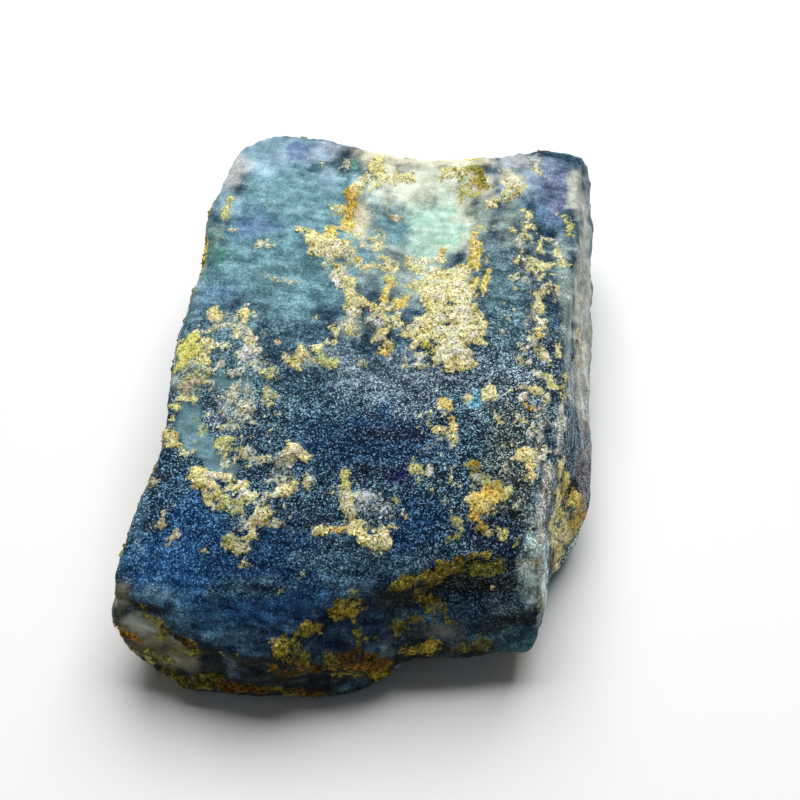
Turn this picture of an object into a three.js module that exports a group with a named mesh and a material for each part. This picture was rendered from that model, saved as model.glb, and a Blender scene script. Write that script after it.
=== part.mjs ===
// A rough lump of lapis lazuli: one broken slab of blue rock, with a crumbly pale crust left on it.
//
// The slab lies on its flat underside. Its top is one cleaved face that dips towards the front,
// and its sides are broken walls. A fine-grained gridded box is bent on to that shape: its twelve
// edges go to the slab's own edges, and its faces are then worked with ledges, ripples, scars,
// crust and pits.
//
// Millimetres. +X is right, +Y is towards the back, +Z is up, and the underside lies on z = 0.

import * as THREE from 'three';
import { ImprovedNoise } from 'three/addons/math/ImprovedNoise.js';
import { mergeVertices } from 'three/addons/utils/BufferGeometryUtils.js';

// ---------------------------------------------------------------- the grid that is bent to shape
const CELLS_ACROSS = 34;
const CELLS_ALONG = 44;
const CELLS_UP = 12;

// Each wall is broken out to a waist, the line where it stands out furthest. The cells below it.
const CELLS_UNDER_WAIST = 4;
const WAIST_SHARE = CELLS_UNDER_WAIST / CELLS_UP;

// How closely the walls' outlines hug the straight lines between their stations: 0 is straight.
const OUTLINE_SLACK = 0.35;

// How soon the dips of the front and back rims die away across the top: 1 is evenly, more is sooner.
const DIP_FADE = 5;

// ---------------------------------------------------------------- the slab's outline
// A wall is a row of stations. Each is an upright line down the wall: its point on the rim of the
// top, its point on the waist, and its point on the foot, where the underside begins (z = 0).
const station = (rim, waist, foot) => ({ rim, waist, foot: [...foot, 0] });

// The four corners, each shared by two walls.
const LEFT_FRONT = station([-20.3, -20.4, 9.6], [-21.0, -21.1, 6.8], [-18.0, -18.6]);
const RIGHT_FRONT = station([14.9, -17.6, 11.7], [14.4, -22.7, 3.5], [13.2, -18.8]);
const RIGHT_BACK = station([19.4, 23.5, 13.9], [20.9, 25.0, 7.4], [19.0, 23.0]);
const LEFT_BACK = station([-11.6, 24.6, 14.2], [-11.7, 24.6, 7.0], [-10.4, 22.4]);

// From left to right: a low glassy corner, the deepest point of the rim, a jutting lump, and an
// overhang that stands clear of the table.
const FRONT_WALL = [
  LEFT_FRONT,
  station([-17.0, -20.9, 8.7], [-19.3, -22.6, 3.3], [-16.4, -20.4]),
  station([-13.8, -22.8, 7.6], [-14.8, -24.5, 1.7], [-13.2, -22.6]),
  station([-8.4, -24.8, 6.9], [-9.2, -25.2, 1.5], [-8.6, -23.9]),
  station([-5.8, -23.4, 8.3], [-5.4, -25.3, 1.3], [-5.2, -24.2]),
  station([-2.7, -21.5, 9.7], [-1.8, -25.2, 1.3], [-2.0, -24.0]),
  station([2.3, -19.5, 10.6], [1.4, -24.1, 2.2], [1.0, -21.8]),
  station([5.0, -18.3, 11.1], [4.4, -22.4, 3.2], [4.0, -19.6]),
  station([8.8, -17.8, 11.4], [8.8, -22.4, 3.2], [8.6, -18.4]),
  RIGHT_FRONT,
];

// From front to back: the block over the overhang, the step behind it, and a long leaning wall.
const RIGHT_WALL = [
  RIGHT_FRONT,
  station([15.0, -15.4, 12.2], [15.3, -16.6, 4.8], [14.3, -16.2]),
  station([15.3, -13.0, 12.7], [16.1, -13.2, 2.0], [15.5, -13.1]),
  station([15.8, -10.6, 13.0], [18.4, -10.6, 3.0], [17.4, -11.0]),
  station([16.2, -8.0, 13.3], [19.4, -7.4, 5.0], [18.6, -7.8]),
  station([16.7, -2.5, 13.6], [19.6, -2.5, 5.5], [19.0, -2.5]),
  station([17.2, 3.5, 13.9], [20.1, 4.0, 5.6], [19.1, 4.0]),
  station([18.4, 10.5, 14.0], [20.5, 10.5, 6.0], [19.3, 10.4]),
  station([19.2, 17.0, 14.0], [20.9, 17.6, 6.2], [19.5, 17.0]),
  RIGHT_BACK,
];

// From left to right: a rounded shoulder that runs into a long shallow bay.
const BACK_WALL = [
  LEFT_BACK,
  station([-8.0, 25.6, 14.7], [-8.3, 25.8, 7.4], [-7.5, 23.9]),
  station([-3.9, 25.1, 14.8], [-4.2, 25.7, 8.0], [-4.0, 24.0]),
  station([0.6, 23.6, 14.5], [0.4, 24.9, 7.5], [0.5, 23.0]),
  station([5.2, 22.7, 14.3], [5.0, 23.9, 8.0], [5.0, 22.0]),
  station([11.2, 22.8, 14.3], [11.5, 24.4, 7.4], [11.0, 22.8]),
  station([16.6, 24.4, 14.3], [17.0, 25.3, 7.2], [16.0, 23.6]),
  RIGHT_BACK,
];

// From front to back: a long straight break, a nick in the rim, and a swelling behind it.
const LEFT_WALL = [
  LEFT_FRONT,
  station([-19.9, -18.0, 10.7], [-20.3, -18.6, 5.6], [-18.0, -17.2]),
  station([-18.8, -13.2, 11.8], [-18.9, -13.6, 5.5], [-17.2, -13.4]),
  station([-17.5, -9.0, 12.5], [-17.7, -9.2, 6.2], [-16.4, -9.0]),
  station([-16.3, 0.5, 13.1], [-16.3, 0.5, 6.0], [-15.0, 0.5]),
  station([-15.3, 7.9, 13.3], [-15.4, 7.5, 6.6], [-14.1, 7.6]),
  station([-14.3, 12.6, 13.2], [-14.6, 12.4, 7.0], [-13.3, 12.6]),
  station([-14.4, 16.6, 13.4], [-14.5, 16.8, 6.4], [-13.0, 16.6]),
  station([-13.1, 21.1, 13.9], [-13.6, 21.0, 7.0], [-12.0, 20.0]),
  LEFT_BACK,
];

// ---------------------------------------------------------------- what the faces are worked with
// Which way a face has to look to be worked as the top: the upward part of its normal, from where
// it begins to count to where it counts wholly.
const TOP_FACING = { from: 0.35, to: 0.9 };

// Broad unevenness of every broken face, and finer chipping. The cleaved top has only a share.
const SWELL = { wavelength: 9.0, depth: 0.55 };
const CHIPPING = { wavelength: 3.4, depth: 0.32 };
const TOP_SHARE = 0.5;

// Shell-like ripples across the front of the top, which begin at y = from and are full at y = full.
// They run askew (slant) and wander by bend over the warp length.
const RIPPLES = { from: -4.0, full: -12.0, spacing: 3.1, height: 0.1, slant: 0.22, bend: 2.6, warp: 11.0 };

// Beds in the walls, as thin ledges one above another, which rise and fall by sway over the warp
// length.
const LEDGES = { spacing: 2.6, depth: 0.42, sway: 0.5, warp: 9.0 };

// Dished scars where a flake came off the top: [x, y, half length, half width, turn, depth].
const SCARS = [
  [6.2, 13.6, 8.6, 4.6, 78, 0.75], // the milky window at the back
  [-13.2, -4.6, 4.4, 2.4, 62, 0.45], // the glassy window on the left
];

// The low crease where the top's right-hand band begins, and how far it slopes off either side.
const CREASE = { x: 11.2, height: 0.45, leftWidth: 9.0, rightWidth: 5.5 };

// How ragged the crust's outline is.
const CRUST_EDGE = { wavelength: 2.6, share: 0.5 };

// Crust that stands on the top: [x, y, half length, half width, turn, height].
const TOP_CRUST = [
  [-3.2, 12.8, 3.5, 2.3, -35, 0.45], // the fan's left lobe
  [-0.4, 7.8, 4.2, 1.4, -42, 0.4], // the chain that runs from it
  [2.6, 8.6, 1.8, 1.7, 0, 0.55],
  [2.8, 11.5, 3.6, 1.1, 5, 0.4],
  [7.5, 4.2, 5.8, 3.1, 86, 0.45], // the fan itself
  [9.6, 11.2, 4.4, 1.1, 92, 0.45],
  [1.4, 4.8, 1.8, 1.5, 0, 0.4],
  [9.2, 20.2, 2.1, 1.7, 0, 0.5],
  [-1.4, 18.0, 2.8, 1.1, 85, 0.4],
  [12.6, 18.8, 2.8, 1.1, 45, 0.35],
  [14.4, 13.0, 2.4, 1.7, 100, 0.45], // the ring on the right-hand band
  [15.0, 7.6, 1.6, 1.3, 0, 0.4],
  [15.1, 2.6, 1.6, 1.4, 0, 0.4],
  [-15.2, 2.4, 1.8, 1.7, 0, 0.5], // the two lumps at the left rim
  [-14.9, 0.0, 1.8, 1.7, 0, 0.5],
  [-4.8, 1.4, 2.8, 1.3, -12, 0.4],
  [-12.8, -11.0, 2.6, 1.7, -60, 0.45], // the forked patch in front
  [-10.4, -12.3, 2.5, 1.2, 10, 0.4],
  [-8.4, -13.4, 2.6, 1.3, 40, 0.4],
  [-10.2, -15.8, 2.0, 1.7, 70, 0.35],
  [-6.4, -8.7, 1.9, 1.3, 0, 0.45],
  [-11.4, -7.4, 1.7, 1.2, 30, 0.4],
  [0.2, -14.2, 3.2, 2.1, 80, 0.4], // the broad patch in the middle
  [1.0, -16.2, 1.7, 1.3, 20, 0.45],
  [6.4, -5.2, 1.9, 1.5, 30, 0.45],
  [9.9, -13.6, 3.0, 1.6, 100, 0.5], // the ochre patch
];

// Crust, knobs and hollows on the walls: [x, y, z, radius, height], and a hollow has a negative
// height.
const WALL_LUMPS = [
  [-0.6, -22.6, 5.2, 3.8, 1.0], // the brow of the jutting lump at the front
  [-0.9, -24.6, 3.0, 1.8, -0.7], // the hollow under it
  [-6.0, -23.6, 5.6, 2.6, 0.5],
  [-12.0, -23.8, 4.6, 2.4, -0.6], // the hollow under the front rim
  [7.6, -19.2, 8.0, 3.2, -0.7], // the hollow over the right-hand shelf
  [5.4, -21.0, 5.4, 2.8, 0.6], // the shelf
  [-3.4, -21.6, 8.6, 1.8, -0.5], // the dark nick under the rim
  [18.6, -8.6, 6.4, 2.6, 0.5], // the ochre knob at the step
  [16.6, -11.6, 9.0, 2.2, -0.7], // the pocket in front of it
  [20.8, 24.0, 11.6, 3.2, 0.6], // the blunt corner at the back
  [19.4, 0.6, 8.6, 2.6, -0.4],
  [20.4, 13.4, 8.8, 3.0, 0.4],
  [4.6, 24.2, 8.6, 4.2, -0.9],
  [-6.4, 25.6, 10.0, 3.6, 0.7],
  [13.0, 24.6, 5.4, 3.0, 0.6],
  [-16.2, 4.0, 5.0, 3.6, -0.8],
  [-18.6, -11.2, 8.4, 3.0, 0.3],
];

// The underside: flat where the slab bears on the table, with shallow basins between. They begin
// where the noise passes the threshold, and keep out of a level pad round the middle.
const BASINS = { wavelength: 8.5, threshold: 0.12, steepness: 2.4, deepest: 1.1, pad: 5.0 };

// ---------------------------------------------------------------- small helpers
const noise = new ImprovedNoise();

// Noise at a point, from about -1 to 1, with a second, finer layer.
function roughness(point, wavelength) {
  const at = point.clone().divideScalar(wavelength);
  return noise.noise(at.x, at.y, at.z) + 0.5 * noise.noise(at.x * 2.1 + 7, at.y * 2.1, at.z * 2.1);
}

// 1 at the middle of an oval on the plan, and 0 from its edge outwards.
function insideOval(point, [x, y, halfLength, halfWidth, turn]) {
  const angle = THREE.MathUtils.degToRad(turn);
  const dx = point.x - x;
  const dy = point.y - y;
  const along = (dx * Math.cos(angle) + dy * Math.sin(angle)) / halfLength;
  const aside = (dy * Math.cos(angle) - dx * Math.sin(angle)) / halfWidth;
  return 1 - Math.min(1, Math.hypot(along, aside));
}

// Level on top, steep at the sides, as a crust or a flake's bed is.
const plateau = (share) => THREE.MathUtils.smoothstep(share, 0, 0.55);

// ---------------------------------------------------------------- bending the box to the outline
function wallCurves(stations) {
  const curve = (level) =>
    new THREE.CatmullRomCurve3(
      stations.map((s) => new THREE.Vector3(...s[level])),
      false,
      'catmullrom',
      OUTLINE_SLACK,
    );
  return { rim: curve('rim'), waist: curve('waist'), foot: curve('foot') };
}

const walls = {
  front: wallCurves(FRONT_WALL),
  right: wallCurves(RIGHT_WALL),
  back: wallCurves(BACK_WALL),
  left: wallCurves(LEFT_WALL),
};

// A wall's point: along it from 0 to 1, and up it from 0 at the foot to 1 at the rim.
function onWall(wall, along, up) {
  const t = wall.rim.getUtoTmapping(along);
  const waist = wall.waist.getPoint(t);
  if (up < WAIST_SHARE) return wall.foot.getPoint(t).lerp(waist, up / WAIST_SHARE);
  return waist.lerp(wall.rim.getPoint(t), (up - WAIST_SHARE) / (1 - WAIST_SHARE));
}

// How far a wall's outline strays from the straight line between its two ends.
function stray(wall, along, up) {
  const straight = onWall(wall, 0, up).lerp(onWall(wall, 1, up), along);
  return onWall(wall, along, up).sub(straight);
}

// A point of the top (up = 1) or the underside (up = 0): ruled from the left wall to the right
// wall, and moved by what the front and back walls stray, less and less further in.
function betweenWalls(across, along, up) {
  const front = stray(walls.front, across, up);
  const back = stray(walls.back, across, up);
  const point = onWall(walls.left, along, up).lerp(onWall(walls.right, along, up), across);
  point.x += front.x * (1 - along) + back.x * along;
  point.y += front.y * (1 - along) + back.y * along;
  point.z += front.z * (1 - along) ** DIP_FADE + back.z * along ** DIP_FADE;
  return point;
}

function onSlab(across, along, up) {
  if (up === 1 || up === 0) return betweenWalls(across, along, up);
  if (along === 0) return onWall(walls.front, across, up);
  if (along === 1) return onWall(walls.back, across, up);
  if (across === 0) return onWall(walls.left, along, up);
  return onWall(walls.right, along, up);
}

// ---------------------------------------------------------------- working the faces
function crease(point) {
  const aside = point.x - CREASE.x;
  const width = aside < 0 ? CREASE.leftWidth : CREASE.rightWidth;
  return CREASE.height * Math.max(0, 1 - Math.abs(aside) / width);
}

function ripples(point) {
  const share = 1 - THREE.MathUtils.smoothstep(point.y, RIPPLES.full, RIPPLES.from);
  const bent = point.y + RIPPLES.slant * point.x + RIPPLES.bend * roughness(point, RIPPLES.warp);
  const wave = Math.sin((2 * Math.PI * bent) / RIPPLES.spacing);
  return share * RIPPLES.height * wave;
}

// Each bed juts out at its top and falls back to the next one's.
function ledges(point) {
  const beds = (point.z + LEDGES.sway * roughness(point, LEDGES.warp)) / LEDGES.spacing;
  return LEDGES.depth * (THREE.MathUtils.smoothstep(beds - Math.floor(beds), 0, 0.85) - 0.5);
}

function onTop(point) {
  const scars = SCARS.map((scar) => -scar[5] * plateau(insideOval(point, scar)));
  const ragged = 1 + CRUST_EDGE.share * roughness(point, CRUST_EDGE.wavelength);
  const crust = TOP_CRUST.map((patch) => patch[5] * plateau(insideOval(point, patch) * ragged));
  return Math.min(0, ...scars) + Math.max(0, ...crust) + crease(point) + ripples(point);
}

function onSides(point) {
  const lumps = WALL_LUMPS.map(([x, y, z, radius, height]) => {
    const reach = point.distanceTo(new THREE.Vector3(x, y, z)) / radius;
    return height * plateau(Math.max(0, 1 - reach));
  });
  return lumps.reduce((sum, lump) => sum + lump, 0) + ledges(point);
}

// How far a point of the slab is moved out along its normal.
function relief(point, normal) {
  const upward = THREE.MathUtils.smoothstep(normal.z, TOP_FACING.from, TOP_FACING.to);
  const uneven =
    SWELL.depth * roughness(point, SWELL.wavelength) +
    CHIPPING.depth * roughness(point, CHIPPING.wavelength);
  const share = THREE.MathUtils.lerp(1, TOP_SHARE, upward);
  return share * uneven + upward * onTop(point) + (1 - upward) * onSides(point);
}

// The underside's height over the table at a point of it.
function basin(point) {
  const hollow = BASINS.steepness * (roughness(point, BASINS.wavelength) - BASINS.threshold);
  const share = THREE.MathUtils.smoothstep(Math.hypot(point.x, point.y), BASINS.pad, 2 * BASINS.pad);
  return share * THREE.MathUtils.clamp(hollow, 0, BASINS.deepest);
}

// ---------------------------------------------------------------- the stone
function stoneGeometry() {
  const box = new THREE.BoxGeometry(1, 1, 1, CELLS_ACROSS, CELLS_ALONG, CELLS_UP);
  box.deleteAttribute('normal');
  box.deleteAttribute('uv');
  const geometry = mergeVertices(box);
  const position = geometry.getAttribute('position');
  const share = (value, cells) => Math.round((value + 0.5) * cells) / cells;

  const grid = [];
  for (let i = 0; i < position.count; i += 1) {
    const across = share(position.getX(i), CELLS_ACROSS);
    const along = share(position.getY(i), CELLS_ALONG);
    const up = share(position.getZ(i), CELLS_UP);
    grid.push({ up, inside: across > 0 && across < 1 && along > 0 && along < 1 });
    position.setXYZ(i, ...onSlab(across, along, up));
  }
  geometry.computeVertexNormals();

  const normals = geometry.getAttribute('normal').clone();
  const point = new THREE.Vector3();
  const normal = new THREE.Vector3();
  for (let i = 0; i < position.count; i += 1) {
    point.fromBufferAttribute(position, i);
    normal.fromBufferAttribute(normals, i);
    if (grid[i].up > 0) point.addScaledVector(normal, relief(point, normal));
    else if (grid[i].inside) point.z = basin(point);
    position.setXYZ(i, ...point);
  }

  // The origin is under the middle of the stone, on the table.
  geometry.computeBoundingBox();
  const middle = geometry.boundingBox.getCenter(new THREE.Vector3());
  geometry.translate(-middle.x, -middle.y, -geometry.boundingBox.min.z);
  geometry.computeVertexNormals();
  return geometry;
}

const lapis = new THREE.MeshStandardMaterial({ color: 0x1c3a5e, roughness: 0.72, metalness: 0 });

const stone = new THREE.Mesh(stoneGeometry(), lapis);
stone.name = 'lapis_stone';

const group = new THREE.Group();
group.add(stone);

export default group;
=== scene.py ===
import math
import bpy
import numpy as np
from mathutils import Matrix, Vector, noise
from mathutils.bvhtree import BVHTree


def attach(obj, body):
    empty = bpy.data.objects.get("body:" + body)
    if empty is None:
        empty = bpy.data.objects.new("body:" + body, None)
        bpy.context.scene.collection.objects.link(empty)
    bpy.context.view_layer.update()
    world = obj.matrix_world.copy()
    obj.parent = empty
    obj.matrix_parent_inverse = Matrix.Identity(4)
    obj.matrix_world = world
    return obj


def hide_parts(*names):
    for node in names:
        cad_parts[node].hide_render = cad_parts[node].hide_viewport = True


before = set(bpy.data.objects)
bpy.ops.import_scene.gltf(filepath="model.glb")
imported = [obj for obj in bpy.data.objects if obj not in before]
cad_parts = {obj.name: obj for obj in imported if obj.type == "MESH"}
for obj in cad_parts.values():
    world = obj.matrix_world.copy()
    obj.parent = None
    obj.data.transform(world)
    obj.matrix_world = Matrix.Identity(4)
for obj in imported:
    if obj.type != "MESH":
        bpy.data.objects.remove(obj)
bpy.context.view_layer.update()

# A rough lump of lapis lazuli: blue sugary rock with a crumbly pale crust left on it.
# Places are given in millimetres, as x to the right, y to the back and z up, with the
# underside on z = 0. The scene itself is in metres.
mm = 0.001


# small helpers
def deselectAll():
    if bpy.context.mode != "OBJECT":
        bpy.ops.object.mode_set(mode="OBJECT")
    bpy.ops.object.select_all(action="DESELECT")


def pick(piece):
    deselectAll()
    piece.select_set(True)
    bpy.context.view_layer.objects.active = piece


def applyModifier(piece, modifier):
    pick(piece)
    bpy.ops.object.modifier_apply(modifier=modifier.name)


def readRows(layer, key):
    # three numbers for each vertex, one row each
    rows = np.empty(len(layer) * 3, np.float32)
    layer.foreach_get(key, rows)
    return rows.reshape(-1, 3).astype(float)


def readPlaces(piece):
    return readRows(piece.data.vertices, "co") / mm


def cloud(places, size, seed, octaves=3):
    # soft noise at each place, about -1 to 1; size is its wavelength in millimetres, and each
    # seed is taken from another part of it
    roughness, lacunarity, step = 0.8, 2.1, np.array((3.7, 1.3, 2.1))
    points = places / size + step * seed
    return np.array([noise.fractal(Vector(p), roughness, lacunarity, octaves) for p in points])


def ramp(value, low, high):
    # 0 below low, 1 above high, smooth between
    share = np.clip((value - low) / (high - low), 0, 1)
    return share * share * (3 - 2 * share)


def patches(places, size, seed, low, high):
    # 1 in the patches where the noise is above high, 0 between them
    return ramp(cloud(places, size, seed), low, high)


# the stone's shape
stoneShape = dict(
    merge=0.01,           # corners closer than this are one
    voxel=0.265,          # size of the fine surface's cells
    lumps=(3.4, 0.30),    # wavelength and height of each layer of roughness
    chips=(1.3, 0.30),
    grit=(0.55, 0.13),
    streaks=(0.75, 0.26), # long low ridges across the front of the top
    columns=(0.65, 0.30),
    crustGrain=(0.6, 0.28),
    crustLift=0.15,
    streakStretch=5.0,
    streakTurn=-8,        # degrees
    streakFront=(-2.0, 8.0),    # how far forward the streaks begin and are full
    streakCover=0.7,      # how far crust evens them out
    weightSteps=40,       # how finely the painted weights are stepped
)


def copyOf(source, name):
    # a free copy with its own mesh
    deselectAll()
    piece = source.copy()
    piece.data = source.data.copy()
    bpy.context.collection.objects.link(piece)
    for key in list(piece.keys()):
        del piece[key]
    piece.parent = None
    piece.name = name
    piece.data.name = name
    return piece


def mergeDoubles(piece):
    pick(piece)
    bpy.ops.object.mode_set(mode="EDIT")
    bpy.ops.mesh.select_all(action="SELECT")
    bpy.ops.mesh.remove_doubles(threshold=stoneShape["merge"] * mm)
    bpy.ops.object.mode_set(mode="OBJECT")


def softenAndRefine(piece):
    smooth = piece.modifiers.new("smooth", "SUBSURF")
    smooth.levels = 1
    smooth.render_levels = 1
    applyModifier(piece, smooth)
    fine = piece.modifiers.new("fine", "REMESH")
    fine.mode = "VOXEL"
    fine.voxel_size = stoneShape["voxel"] * mm
    fine.adaptivity = 0
    fine.use_smooth_shade = True
    applyModifier(piece, fine)


stone = copyOf(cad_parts["lapis_stone"], "lapisStone")
mergeDoubles(stone)
softenAndRefine(stone)
print("stone refined:", len(stone.data.vertices), "vertices")


# where the crust lies
# tone: colour, how far it stands up, how closed it is, how loose its grains are
crustTones = dict(
    cream=((0.86, 0.85, 0.51), 1.0, 0.95, 1.0),
    butter=((0.95, 0.89, 0.48), 1.1, 0.95, 1.0),
    yellow=((0.90, 0.78, 0.27), 1.1, 0.95, 1.0),
    lemon=((0.76, 0.76, 0.22), 1.0, 1.0, 0.1),
    lime=((0.68, 0.72, 0.32), 1.0, 0.90, 0.8),
    olive=((0.33, 0.33, 0.07), 0.8, 0.9, 0.8),
    ochre=((0.82, 0.58, 0.12), 1.1, 0.95, 1.0),
    rust=((0.34, 0.18, 0.03), 0.8, 0.95, 0.8),
    brown=((0.050, 0.036, 0.020), 0.4, 0.9, 0.2),
    amber=((0.60, 0.30, 0.04), 0.1, 0.8, 0.0),
    white=((0.93, 0.95, 0.86), 0.8, 0.9, 0.8),
    tan=((0.74, 0.68, 0.52), 0.8, 0.8, 0.8),
    dust=((0.50, 0.56, 0.48), 0.5, 0.50, 0.5),
    specks=((0.72, 0.75, 0.56), 0.8, 0.9, 1.0),
    green=((0.36, 0.50, 0.26), 0.7, 0.85, 0.6),
    moss=((0.22, 0.21, 0.045), 0.8, 0.85, 0.8),
    umber=((0.13, 0.075, 0.015), 0.8, 0.9, 0.8),
    gold=((0.44, 0.36, 0.06), 1.0, 0.85, 0.9),
)

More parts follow.
